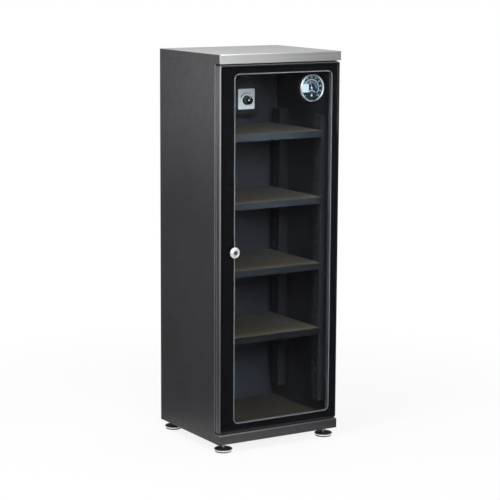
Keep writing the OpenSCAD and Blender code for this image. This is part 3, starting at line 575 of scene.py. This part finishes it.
def makePiece(name, form, body, slot, replaced=(), sharp=32):
    # a pair of vertices and faces becomes one closed mesh, shaded smooth up to the sharp angle, and the
    # piece takes its body, slot and finish
    verts, faces = form
    mesh = bpy.data.meshes.new(name)
    mesh.from_pydata((np.asarray(verts) * mm).tolist(), [], faces)
    work = bmesh.new()
    work.from_mesh(mesh)
    bmesh.ops.remove_doubles(work, verts=work.verts, dist=mendSet["weld"])
    bmesh.ops.dissolve_degenerate(work, edges=work.edges, dist=mendSet["sliver"])
    bmesh.ops.recalc_face_normals(work, faces=work.faces)
    work.to_mesh(mesh)
    work.free()
    mesh.shade_smooth()
    mesh.set_sharp_from_angle(angle=math.radians(sharp))
    piece = placed(name, mesh)
    mesh.materials.append(looks[slot])
    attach(piece, body)
    if replaced:
        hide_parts(*replaced)
    return piece


# Sheet metal and mouldings that keep the solids' own shape

dressSet = {
    "body_paint": ["side_panel_left", "side_panel_right", "floor_panel", "base_pan"],
    "plinth_paint": ["plinth_fascia"],
    "back_paint": ["back_panel", "ceiling_panel"],
    "inner_paint": ["upright_" + corner for corner in corners],
    "unit_paint": ["unit_housing"],
    "brushed_cover": ["top_cover"],
    "shelf_paint": shelves,
    "plated_steel": ["back_screws", "strike_plate", "hinge_pins", "shelf_clips", "lock_nut", "lock_cam",
                     "cam_screw", "foot_nuts"],
    "nylon": ["hinge_washer", "hinge_bushes"],
    "desiccant": ["desiccant_cartridge"],
    "heater": ["heater_plate"],
    "board": ["circuit_board"],
    "pale_plate": ["control_plate"],
    "black_plastic": ["humidity_dial_body", "rear_vent", "power_inlet", "meter_case"],
    "red_lens": ["indicator_lens"],
    "glass": ["door_glass", "meter_lens"],
    "rubber": ["glass_tape"],
    "plug_chrome": ["lock_plug"],
    "dial": ["meter_dial"],
}
edgeSet = {
    "radii": {  # of folded or moulded edges, and the nodes that have them
        1.2: ["plinth_fascia"],
        0.8: ["top_cover"],
        0.7: ["side_panel_left", "side_panel_right"],
        0.4: shelves,
        0.35: ["ceiling_panel", "floor_panel", "base_pan", "unit_housing"],
        0.3: ["back_panel", "control_plate", "rear_vent"],
        0.25: ["strike_plate"],
    },
    "weld": 0.01,
    "flat": 0.5,  # degrees between faces that count as one
    "angle": 40,  # degrees past which an edge is rounded
    "segments": 2,
}


def roundEdges(node, radius, spec):
    weld = node.modifiers.new("weld", "WELD")
    weld.merge_threshold = spec["weld"] * mm
    flat = node.modifiers.new("flat", "DECIMATE")
    flat.decimate_type, flat.angle_limit = "DISSOLVE", math.radians(spec["flat"])
    bevel = node.modifiers.new("edges", "BEVEL")
    bevel.width, bevel.segments = radius * mm, spec["segments"]
    bevel.limit_method, bevel.angle_limit = "ANGLE", math.radians(spec["angle"])


def dress(spec, edges):
    for slot, names in spec.items():
        for name in names:
            for place in nodes[name].material_slots:
                place.material = looks[slot]
    for radius, names in edges["radii"].items():
        for name in names:
            roundEdges(nodes[name], radius, edges)
    for name in spec["glass"]:
        nodes[name].visible_shadow = False  # lamps reach what lies behind the panes


dress(dressSet, edgeSet)
print("dry cabinet: sheet metal dressed")


# Door

doorSet = {
    "corner": 6,  # radius of the frame's corners
    "sheet": 1.2,
    "rabbet": (5, 6.1),  # the front lip's width, and the seat's depth below it
    "groove": (14, 20),  # insets of the seal's groove between the rear lips
    "wall": 26.5,  # inset of the inner wall
    "bends": {"front": 2.6, "lip": 0.8, "inner": 1.5, "inside": 1.2, "cut": 0.3},
    # one half of the seal's outline: how far from the groove's middle, and how deep
    "seal": [(1.8, 19.8), (2.6, 20.7), (1.2, 21.2), (1.2, 22.0), (5.6, 22.1), (4.6, 23.1), (6, 24.0),
             (4.8, 24.9), (5.8, 25.8), (5.8, 26.7)],
    "sealRound": 0.45,
    "paneCorner": 0.6,
    "solidLine": 3,  # width of the silver line in the solids
    "line": 2.6,  # width of the line that shows
    "lineCorner": 15.5,  # radius at the line's middle
    "printGap": 0.03,
}


def makeFrame(spec, outline, front, rear):
    # one folded strip: rear lip, outer wall, front lip, rabbet, seat, inner wall, rear lip
    t, w, d = spec["sheet"], spec["wall"], rear - front
    (lip, seat), (g0, g1) = spec["rabbet"], spec["groove"]
    outer = [(g0, d), (0, d), (0, 0), (lip, 0), (lip, seat), (w, seat), (w, d), (g1, d)]
    inner = [(g1, d - t), (w - t, d - t), (w - t, seat + t), (lip - t, seat + t), (lip - t, t), (t, t),
             (t, d - t), (g0, d - t)]
    fold, edge, wall, inside, cut = (spec["bends"][k] for k in ("front", "lip", "inner", "inside", "cut"))
    bends = [cut, fold, fold, edge, cut, wall, wall, cut, cut, cut, cut, inside, cut, cut, cut, cut]
    section = softened(outer + inner, bends, steps=5)
    makePiece("doorFrame", surface(insetRing(outline, section, front, steps=10), True), "door", "door_paint",
              ["door_frame"])


def makeSeal(spec, outline, front):
    # bellows gasket: a barb in the groove, two soft pleats and a flat sealing face, alike on both sides
    middle = sum(spec["groove"]) / 2
    first, *rest = [(middle - side, depth) for side, depth in spec["seal"]]
    gasket = [first] + [(middle + side, depth) for side, depth in spec["seal"]] + rest[::-1]
    section = softened(gasket, spec["sealRound"], steps=4)
    makePiece("doorSeal", surface(insetRing(outline, section, front, steps=8), True), "door", "rubber",
              ["door_seal"], sharp=60)


def lineEdge(spec, side):
    # the silver line's outer edge (side -1) or inner edge (side 1), half a line from the line's middle,
    # which lies half the solid's line inside the solid's box
    low, high = cornersOf("silver_line")
    s = (spec["solidLine"] + side * spec["line"]) / 2
    return low[0] + s, high[0] - s, low[2] + s, high[2] - s, spec["lineCorner"] - side * spec["line"] / 2


def makePrint(spec):
    # the dark border and the silver line are thin rings on the rear of the glass
    low, high = cornersOf("glass_border")
    pane = (low[0], high[0], low[2], high[2], spec["paneCorner"])
    outside, inside = lineEdge(spec, -1), lineEdge(spec, 1)
    depths = [low[1] + spec["printGap"]] * 2 + [high[1]] * 2
    border = roundRing([pane, outside, outside, pane], depths, steps=12)
    line = roundRing([outside, inside, inside, outside], depths, steps=24)
    makePiece("glassBorder", surface(border, True), "door", "border_print", ["glass_border"])
    makePiece("silverLine", surface(line, True), "door", "silver_print", ["silver_line"])


def makeDoor(spec):
    low, high = cornersOf("door_frame")
    outline = (low[0], high[0], low[2], high[2], spec["corner"])
    makeFrame(spec, outline, low[1], high[1])
    makeSeal(spec, outline, low[1])
    makePrint(spec)


makeDoor(doorSet)
print("dry cabinet: door made")


# Lock

lockSet = {
    "rosette": 16.5,  # radii
    "collar": 11,
    "barrel": 9.5,
    "bore": 6.55,
    "rounds": [0.2, 0.4, 0.5, 1.1, 0.3, 0.3, 1.0, 1.3, 0.2, 0.1, 0.4, 0.2],  # along the profile
}


def makeLock(rosette, collar, barrel, bore, rounds):
    # a cone down to the key plug, the raised collar, a dished rosette on the glass and the barrel
    r, c, b, h = rosette, collar, barrel, bore
    low, high = cornersOf("lock_body")
    front, rear, glass = low[1], high[1], frontOf("door_glass")
    outline = [(h, front + 1.6), (h + 1.1, front + 0.3), (h + 1.8, front), (c, front), (c, glass - 1.7),
               (c + 0.9, glass - 1.7), (r - 2.2, glass - 3.4), (r, glass - 1.6), (r, glass), (b, glass),
               (b, rear), (h, rear)]
    section = softened(outline, rounds, steps=6)
    grid = turnedForm(section, middleOf("lock_body", "xz"), "y", steps=96)
    makePiece("lockBody", surface(grid, True), "door", "satin_chrome", ["lock_body"], sharp=40)


makeLock(**lockSet)


# Hygrometer

meterSet = {
    "centre": middleOf("meter_case", "xz"),
    "rim": {"radius": 41.95, "gap": 0.05, "width": 4.45, "ledge": 2.5, "lens": 3.55, "depth": 5.95,
            "rounds": [0.2, 2.1, 2.1, 0.15, 0.1, 0.1]},
    "spindle": 1082.5,  # height of the thermometer's spindle
    "print": (-0.06, -0.02),  # depths of the marks before the dial's face
    "zero": -135,  # degrees clockwise from up
    "perPercent": 2.7,
    "percentSteps": (2, 10),
    "lowAngles": (-40, 41, 10),
    "fine": {"radius": 37.4, "length": 1.8, "width": 0.5},
    "major": {"radius": 37.0, "length": 2.6, "width": 1.1},
    "figures": {"radius": 32.2, "size": 6.4},
    "lowArc": {"radius": 15.5, "width": 1.8, "start": -46, "end": 58, "steps": 40},
    "lowMarks": {"radius": 12.6, "length": 1.8, "width": 0.5},
    "band": {"radius": 17.5, "width": 7, "start": -38, "end": 96, "steps": 64, "taper": 0.7},
    "arc": {"radius": 25.4, "width": 4.4, "start": -62, "end": 128, "steps": 96, "taper": 0.8},
    "field": {"left": -36, "right": -10, "half": 13, "corner": 2, "print": (-0.10, -0.02)},
    "humidity": {"length": 28.9, "tail": 9, "width": 2.4, "tilt": -15},
    "thermometer": {"length": 10.4, "tail": 3.2, "width": 1.6, "tilt": 0},
    "blade": {"depth": (-1.9, -1.3), "tip": 0.2, "power": 0.8, "steps": 24},  # depth before the dial's face
    "hub": {"radius": 2.6, "rise": 0.55, "edge": 0.6, "back": -0.1, "rounds": [0, 0.6, 0.2, 0.1, 0]},
}
dialFace = frontOf("meter_dial")


def makeRim(centre, radius, gap, width, ledge, lens, depth, rounds):
    # a rolled ring: round in front, with a ledge behind it that holds the lens
    front = frontOf("meter_rim") + gap
    inner, seat, rear = radius - width, front + lens, front + depth
    hole = inner + ledge
    outline = [(radius, rear), (radius, front), (inner, front), (inner, seat), (hole, seat), (hole, rear)]
    section = softened(outline, rounds, steps=12)
    grid = turnedForm(section, centre, "y", steps=128)
    makePiece("meterRim", surface(grid, True), "door", "rim_chrome", ["meter_rim"], sharp=40)


def arcBand(centre, plane, radius, width, start, end, steps=48, taper=1.0):
    # a flat band along a circle: clockwise angle a from up, radius -+ half a width that shrinks by taper
    a = np.radians(np.linspace(start, end, steps))
    half = width / 2 * np.linspace(1, taper, steps)
    ring = np.stack([radius - half, radius + half], -1)
    x, z = centre[0] + ring * np.sin(a)[:, None], centre[1] + ring * np.cos(a)[:, None]
    near, far = (np.stack([x, np.full_like(x, y), z], -1) for y in plane)
    section = np.stack([near[:, 0], near[:, 1], far[:, 1], far[:, 0]], 1)
    return surface(section, caps=True)


def around(centre, radius, angles):
    # points on a circle, at clockwise angles from up
    return np.stack([centre[0] + radius * np.sin(angles), centre[1] + radius * np.cos(angles)], -1)


def ticks(centre, plane, angles, radius, length, width):
    a = np.radians(np.asarray(angles, float))
    return boxes(around(centre, radius, a), np.tile([width / 2, length / 2], (len(a), 1)), a, plane)


def figure(text, size, thick):
    # Blender's own figure as a mesh: its points, upright and facing -Y, and its faces
    curve = bpy.data.curves.new("figure", "FONT")
    curve.body, curve.size, curve.align_x, curve.align_y = text, size, "CENTER", "CENTER"
    curve.extrude, curve.resolution_u = thick / 2, 2
    holder = placed("figure", curve)
    bpy.context.view_layer.update()
    mesh = bpy.data.meshes.new_from_object(holder.evaluated_get(bpy.context.evaluated_depsgraph_get()))
    x, y, z = np.array([v.co for v in mesh.vertices]).T
    faces = [list(p.vertices) for p in mesh.polygons]
    bpy.data.objects.remove(holder)
    bpy.data.meshes.remove(mesh)
    bpy.data.curves.remove(curve)
    return np.stack([x, -z, y], -1), faces


def numerals(centre, plane, values, angles, radius, size):
    parts = []
    for value, angle in zip(values, np.radians(angles)):
        verts, faces = figure(str(value), size, plane[1] - plane[0])
        x, z = around(centre, radius, angle)
        parts.append((verts + (x, np.mean(plane), z), faces))
    return parts


def makeDial(spec):
    c, y = spec["centre"], dialFace
    plane = [y + depth for depth in spec["print"]]
    low = (c[0], spec["spindle"])
    percent, tens = (np.arange(0, 101, step) for step in spec["percentSteps"])
    fine, major = (spec["zero"] + spec["perPercent"] * values for values in (percent, tens))
    parts = [ticks(c, plane, fine, **spec["fine"]), ticks(c, plane, major, **spec["major"]),
             *numerals(c, plane, tens, major, **spec["figures"]),
             arcBand(low, plane, **spec["lowArc"]),
             ticks(low, plane, np.arange(*spec["lowAngles"]), **spec["lowMarks"])]
    makePiece("dialMarks", joined(parts), "door", "dial_marks")
    # the shaded comfort band inside the scale
    makePiece("dialBand", arcBand(c, plane, **spec["band"]), "door", "dial_band")
    makePiece("dialArc", arcBand(c, plane, **spec["arc"]), "door", "dial_arc")
    # the pale blank field at the left of the scale
    field = spec["field"]
    left, right, half = c[0] + field["left"], c[0] + field["right"], field["half"]
    outline = (left, right, c[1] - half, c[1] + half, field["corner"])
    grid = roundRing([outline] * 2, [y + depth for depth in field["print"]], steps=6)
    makePiece("dialField", surface(grid, caps=True), "door", "dial_panel")


def makeNeedle(name, node, body, centre, spec, blade, hub):
    # a flat blade from tail to tip: half width = width / 2 * (1 - share of the way) ** power + tip; the
    # blade is turned clockwise from up, and a domed hub covers its spindle
    share = np.linspace(0, 1, blade["steps"])
    half = spec["width"] / 2 * (1 - share) ** blade["power"] + blade["tip"]
    along = -spec["tail"] + share * (spec["length"] + spec["tail"])
    a = math.radians(spec["tilt"])
    near, far = (dialFace + depth for depth in blade["depth"])
    x = [centre[0] + side * half * math.cos(a) + along * math.sin(a) for side in (-1, 1, 1, -1)]
    z = [centre[1] - side * half * math.sin(a) + along * math.cos(a) for side in (-1, 1, 1, -1)]
    y = [np.full_like(half, depth) for depth in (near, near, far, far)]
    grid = np.stack([np.stack(k, 1) for k in (x, y, z)], -1)
    makePiece(name, surface(grid, caps=True), body, "needle", [node], sharp=40)
    r, top, back = hub["radius"], near - hub["rise"], dialFace + hub["back"]
    dome = softened([(0, top), (r - hub["edge"], top), (r, near), (r, back), (0, back)],
                    hub["rounds"], steps=5)
    makePiece(name + "Hub", surface(turnedForm(dome, centre, "y", steps=40)), body, "hub", sharp=40)


def makeMeter(spec):
    makeRim(spec["centre"], **spec["rim"])
    makeDial(spec)
    low = (spec["centre"][0], spec["spindle"])
    for kind, centre in (("humidity", spec["centre"]), ("thermometer", low)):
        makeNeedle(kind + "Needle", kind + "_needle", kind + "_pointer", centre, spec[kind], spec["blade"],
                   spec["hub"])


makeMeter(meterSet)
print("dry cabinet: lock and hygrometer made")


# Humidity control

controlSet = {
    "centre": middleOf("humidity_knob", "xz"),
    "radius": 15,
    "gap": 0.5,  # between knob and plate
    "spigot": 11,  # behind the knob's back
    "rounds": [0, 0.2, 0.3, 4, 3, 3, 4, 1.5, 0.5, 0.5, 0.3, 0.1, 0.3, 0],
    "recess": {"radius": 7.5, "depth": 3.4},
    "boss": {"radius": 7.3, "back": 3.9, "rounds": [0, 6, 5, 0.4, 0.1, 0]},
    "steps": 288,
    "ribs": 36,
    "ribDepth": 0.022,  # share of the radius
    "ribStart": (0.03, 0.09),  # shares of the height between which the ribs grow, and fade again
    "ribEnd": (0.5, 0.38),
    "mark": {"inset": 6.2, "half": (0.55, 2.2), "depth": (0.9, 2.2)},
    "arc": {"radius": 22.6, "width": 3.4, "start": -66, "end": 40, "steps": 64, "taper": 0.2},
    "ticks": {"radius": 25.6, "length": 1.8, "width": 0.5},
    "angles": (-66, 67, 12),
    "print": (-0.06, -0.01),
}


def makeKnob(spec):
    # profile (radius, height from the front): a recess for the boss, domed face, gripping rim, waist and
    # skirt; the ribs are a ripple of cos(ribs * turn) that fades in and out along the rim
    x, z = spec["centre"]
    r, front, back = spec["radius"], frontOf("humidity_knob"), frontOf("control_plate") - spec["gap"]
    rear, seat, hole = back + spec["spigot"], front + spec["recess"]["depth"], spec["recess"]["radius"]
    outline = [(0, seat), (hole, seat), (8, front + 0.9), (r - 4.5, front + 1.6),
               (r - 2, front + 5), (r - 2.2, front + 8), (r - 3.6, front + 14), (r - 3.2, back - 4.5),
               (r - 1.2, back - 3), (r, back - 2.6), (r, back), (3, back), (3, rear), (0, rear)]
    section = softened(outline, spec["rounds"], steps=7)
    grid = turnedForm(section, (x, z), "y", spec["steps"])
    turn = np.linspace(0, 2 * math.pi, spec["steps"], endpoint=False)
    share = (section[:, 1] - front) / (back - front)
    fade = np.prod([np.clip((share - first) / (last - first), 0, 1)
                    for first, last in (spec["ribStart"], spec["ribEnd"])], axis=0)
    ripple = 1 - spec["ribDepth"] * fade[:, None] * (1 + np.cos(spec["ribs"] * turn)) / 2
    grid[..., 0] = x + (grid[..., 0] - x) * ripple
    grid[..., 2] = z + (grid[..., 2] - z) * ripple
    makePiece("humidityKnob", surface(grid), "knob", "gloss_black", ["humidity_knob"], sharp=50)
    edge, sunk = spec["boss"]["radius"], front + spec["boss"]["back"]
    dome = softened([(0, front), (3.4, front + 0.3), (6.2, front + 1.7), (edge, seat), (edge, sunk),
                     (0, sunk)], spec["boss"]["rounds"], steps=9)
    makePiece("knobBoss", surface(turnedForm(dome, (x, z), "y", steps=64)), "knob", "chrome", sharp=50)
    mark = spec["mark"]
    plane = [front + depth for depth in mark["depth"]]
    form = boxes([(x, z + r - mark["inset"])], [mark["half"]], [0], plane)
    makePiece("knobMark", form, "knob", "pale_plate")


def makeScale(spec):
    # a wedge-shaped arc and a ring of marks on the plate
    plane = [frontOf("control_plate") + depth for depth in spec["print"]]
    parts = [arcBand(spec["centre"], plane, **spec["arc"]),
             ticks(spec["centre"], plane, np.arange(*spec["angles"]), **spec["ticks"])]
    makePiece("plateScale", joined(parts), "cabinet", "scale_print")


makeKnob(controlSet)
makeScale(controlSet)
print("dry cabinet: humidity control made")


# Feet

footSet = {
    "padTop": 4,  # heights from the floor
    "bandTop": 8,
    "topFloor": 8.8,
    "top": 14,
    "bore": 5.3,  # radius of the top's hole round the stem
    "bandBore": 0.8,  # share of the base's radius
    "rounds": {  # the corners' radii along each profile, the points in an arc and the steps round it
        "top": ([0, 0.2, 0.8, 1.2, 9, 2, 0.4, 0.3, 0.1, 0], 7, 96),
        "band": ([0.1, 0.4, 0.8, 1, 0.4, 0.1], 6, 96),
        "pad": ([0, 0.5, 0.8, 0.2, 0], 5, 72),
        "neck": ([0, 0.3, 0.5, 0.6, 0.8, 0.1], 5, 36),
    },
    "stem": 5,  # radius
    "neck": 3.3,  # radius
    "pitch": 1.5,
    "pitchSteps": 7,
    "threadStart": 19.6,
    "threadDepth": 0.75,
    "runOut": (1.2, 0.25),  # the thread's end: its length, and how far the stem is thinner there
}


def threadGrid(spec, top, steps):
    # radius = stem - depth * triangle wave of (height / pitch - turn), fading out at both ends
    turns = np.linspace(0, 2 * math.pi, steps, endpoint=False)
    height = np.arange(spec["threadStart"], top, spec["pitch"] / spec["pitchSteps"])
    phase = (height[:, None] / spec["pitch"] - turns[None] / (2 * math.pi)) % 1
    length, thinner = spec["runOut"]
    fade = np.clip((height - height[0]) / length, 0, 1) * np.clip((height[-1] - height) / length, 0, 1)
    radius = spec["stem"] - spec["threadDepth"] * fade[:, None] * np.abs(2 * phase - 1)
    radius = radius - thinner * (1 - fade[:, None])
    return np.stack([radius * np.cos(turns), radius * np.sin(turns),
                     np.broadcast_to(height[:, None], radius.shape)], -1)


def makeFoot(spec, corner):
    # from the floor up: rubber pad, bright ring, domed plastic top and the threaded stem with its neck
    base, body = "foot_base_" + corner, "foot_" + corner
    low, high = cornersOf(base)
    spot, r = middleOf(base, "xy"), (high[0] - low[0]) / 2
    pad, band, floor, top = (spec[k] for k in ("padTop", "bandTop", "topFloor", "top"))
    stem, neck, hole, ring = spec["stem"], spec["neck"], spec["bore"], r * spec["bandBore"]
    outlines = {
        "top": [(0, band), (r * 0.975, band), (r, 8.2), (r, 9.9), (r * 0.84, 12.2), (9.2, 13.8), (7.4, top),
                (hole, top), (hole, floor), (0, floor)],
        "band": [(ring, pad), (r * 0.945, pad), (r * 0.955, 4.6), (r * 0.965, 7.2), (r * 0.965, band),
                 (ring, band)],
        "pad": [(0, 0), (r * 0.87, 0), (r * 0.925, 1.2), (r * 0.935, pad), (0, pad)],
        "neck": [(0, 8.9), (stem, 8.9), (stem, 12.4), (neck, 13.1), (neck, 18), (4.6, 19.4)],
    }
    form = {}
    for part, (radii, arcs, steps) in spec["rounds"].items():
        form[part] = turnedForm(softened(outlines[part], radii, arcs), spot, "z", steps)
    thread = threadGrid(spec, cornersOf("foot_stem_" + corner)[1][2], steps=36) + (*spot, 0)
    stem = np.concatenate([form["neck"], thread])
    makePiece("footTop_" + corner, surface(form["top"]), body, "black_plastic", [base], sharp=45)
    makePiece("footBand_" + corner, surface(form["band"], True), body, "satin_chrome", sharp=45)
    makePiece("footPad_" + corner, surface(form["pad"]), body, "rubber", sharp=45)
    makePiece("footStem_" + corner, surface(stem, caps=True), body, "satin_chrome",
              ["foot_stem_" + corner], sharp=50)


for footCorner in corners:
    makeFoot(footSet, footCorner)
print("dry cabinet: feet made")


# Mats

matSet = {
    "corner": 3,
    "least": 0.5,  # corner radius where the edge is drawn in
    "edge": [(0.35, 0), (0, 0.35), (0, 1.3), (0.25, 1.8), (0.8, 2)],  # inset and height, up to the thickness
}


def makeMat(name, solid, bottom, spec):
    # a felt slab that covers what its solid covers: rounded rectangles from the underside up round a soft
    # edge to the top face
    low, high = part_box(solid)
    x0, x1, y0, y1 = (value / mm for value in (low.x, high.x, low.y, high.y))
    edge = np.array(spec["edge"])
    rows = [(x0 + s, x1 - s, y0 + s, y1 - s, max(spec["corner"] - s, spec["least"])) for s in edge[:, 0]]
    grid = roundRing(rows, bottom + edge[:, 1], steps=8, axis="z")
    piece = makePiece(name, surface(grid, caps=True), "cabinet", "mat", [solid], sharp=60)


def makeMats(spec):
    # one on the top of each shelf, and one on the floor
    for shelf in shelves:
        makeMat("shelfMat_" + shelf[-1], "shelf_mats", cornersOf(shelf)[1][2], spec)
    makeMat("floorMat", "floor_mat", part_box("floor_mat")[0].z / mm, spec)


makeMats(matSet)
print("dry cabinet: mats made")


# Studio

lampSet = {  # places in metres, power in watts
    "key": {"place": (-2.5, -1.0, 2.5), "aim": (0, 0, 0.9), "size": 1.2, "power": 34},
    "shoulder": {"place": (-0.8, -0.45, 1.6), "aim": (-0.2, -0.1, 1.1), "size": 0.3, "power": 6.5},
    "frontLeft": {"place": (-1.7, -4.0, 2.3), "aim": (0, 0, 0.75), "size": 1.1, "power": 70},
    "front": {"place": (-0.3, -4.3, 2.2), "aim": (0, 0, 0.75), "size": 1.1, "power": 70},
    "sheen": {"place": (-0.89, 0.72, 1.08), "aim": (-0.215, -0.2, 1.1), "size": 0.4, "power": 1.15},
    "top": {"place": (0.1, 0.3, 3.2), "aim": (0, 0, 0.6), "size": 1.4, "power": 42},
}
mirrorSet = {  # what mirror images show of the room
    "dark": 0.03,
    "dim": 0.24,
}
worldSet = {
    "soft": 0.2,
    "darkFront": (-0.25, -0.5),  # the mirrored room gets dark where the direction's Y passes these
    "overhead": (0.5, 0.75),  # the same of its Z for the bright field overhead
    "field": (-0.84, -0.54, 0),  # the middle of the bright upright field, and its edge's cosines
    "fieldEdge": (0.78, 0.93),
}
floorSet = {  # metres
    "half": 8,
    "grey": (0.8, 0.8, 0.8, 1),
    "shadeReach": (0.4, 1.8),  # the shadow shows up to here
    "shade": 0.14,  # and this much of it
    "darkFront": (-0.28, -0.42),
    "brightReach": (0.42, 0.32),  # mirrored, the floor is bright only close round the feet
}


def makeLamp(name, place, aim, size, power):
    data = bpy.data.lights.new(name, "AREA")
    data.energy, data.size = power, size
    lamp = placed(name, data)
    lamp.location = place
    aim = Vector(aim) - Vector(place)
    lamp.rotation_euler = aim.to_track_quat("-Z", "Y").to_euler()


def pathSwitch(look):
    # seen: 1 where the camera looks straight at it or through glass; mirrored: 1 where a mirror image is
    # looked up, also one that comes back out of a pane
    path = look.node_tree.nodes.new("ShaderNodeLightPath").outputs
    unspread, unmirrored = (sums(look, "LESS_THAN", path[depth], 0.5)
                            for depth in ("Diffuse Depth", "Glossy Depth"))
    through = sums(look, "MULTIPLY", path["Is Transmission Ray"], unspread)
    straight = sums(look, "MULTIPLY", through, unmirrored)
    seen = sums(look, "MAXIMUM", straight, path["Is Camera Ray"])
    return seen, sums(look, "MAXIMUM", through, path["Is Glossy Ray"])


def eased(look, value, limits):
    return ranged(look, value, 0, 1, *limits, "SMOOTHSTEP")


def source(look, kind, strength):
    # an even white glow
    return step(look, kind, {"Color": (1, 1, 1, 1), "Strength": strength})


def shaderMix(look, factor, first, second):
    # the first shader where the factor is 0, the second where it is 1
    return step(look, "MixShader", {0: factor, 1: first, 2: second})


def makeWorld(spec, mirror):
    # soft light, white where it is seen, and in mirror images a room with two bright fields that is
    # darker in front
    world = bpy.data.worlds.new("studio")
    bpy.context.scene.world = world
    world.use_nodes = True
    world.node_tree.nodes.clear()
    seen, glossy = pathSwitch(world)
    way = step(world, "TexCoord", {}, "Generated")
    facing = step(world, "VectorMath", {0: way, 1: spec["field"]}, "Value", operation="DOT_PRODUCT")
    bright = sums(world, "MAXIMUM", eased(world, alongAxis(world, way, "Z"), spec["overhead"]),
                  eased(world, facing, spec["fieldEdge"]))
    soft, white, dark, dim = (source(world, "Background", strength)
                              for strength in (spec["soft"], 1, mirror["dark"], mirror["dim"]))
    room = shaderMix(world, eased(world, alongAxis(world, way, "Y"), spec["darkFront"]), dim, dark)
    room = shaderMix(world, bright, room, white)
    last = shaderMix(world, seen, shaderMix(world, glossy, soft, room), white)
    wire(world, last, world.node_tree.nodes.new("ShaderNodeOutputWorld").inputs[0])


def makeFloor(spec, mirror):
    # grey to the light; where it is seen it is white with the cabinet's shadow near by, and in mirror
    # images it is as dark as the room
    half = spec["half"]
    mesh = bpy.data.meshes.new("floor")
    mesh.from_pydata([(-half, -half, 0), (half, -half, 0), (half, half, 0), (-half, half, 0)], [],
                     [(0, 1, 2, 3)])
    floor = placed("floor", mesh)
    look = bpy.data.materials.new("paleFloor")
    look.use_nodes = True
    look.node_tree.nodes.clear()
    seen, glossy = pathSwitch(look)
    pale, shade = (step(look, "BsdfDiffuse", {"Color": spec["grey"]}) for _ in range(2))
    white, dark, dim = (source(look, "Emission", strength)
                        for strength in (1, mirror["dark"], mirror["dim"]))
    spot = step(look, "TexCoord", {}, "Object")
    distance = step(look, "VectorMath", {0: spot}, "Value", operation="LENGTH")
    near = ranged(look, distance, spec["shade"], 0, *spec["shadeReach"], "SMOOTHSTEP")
    room = shaderMix(look, eased(look, alongAxis(look, spot, "Y"), spec["darkFront"]), dim, dark)
    room = shaderMix(look, eased(look, distance, spec["brightReach"]), room, white)
    last = shaderMix(look, glossy, pale, room)
    last = shaderMix(look, seen, last, shaderMix(look, near, white, shade))
    wire(look, last, look.node_tree.nodes.new("ShaderNodeOutputMaterial").inputs[0])
    mesh.materials.append(look)


for lampName, lampSpec in lampSet.items():
    makeLamp(lampName, **lampSpec)
makeWorld(worldSet, mirrorSet)
makeFloor(floorSet, mirrorSet)
bpy.context.scene.view_settings.view_transform = "Standard"
print("dry cabinet: studio made")
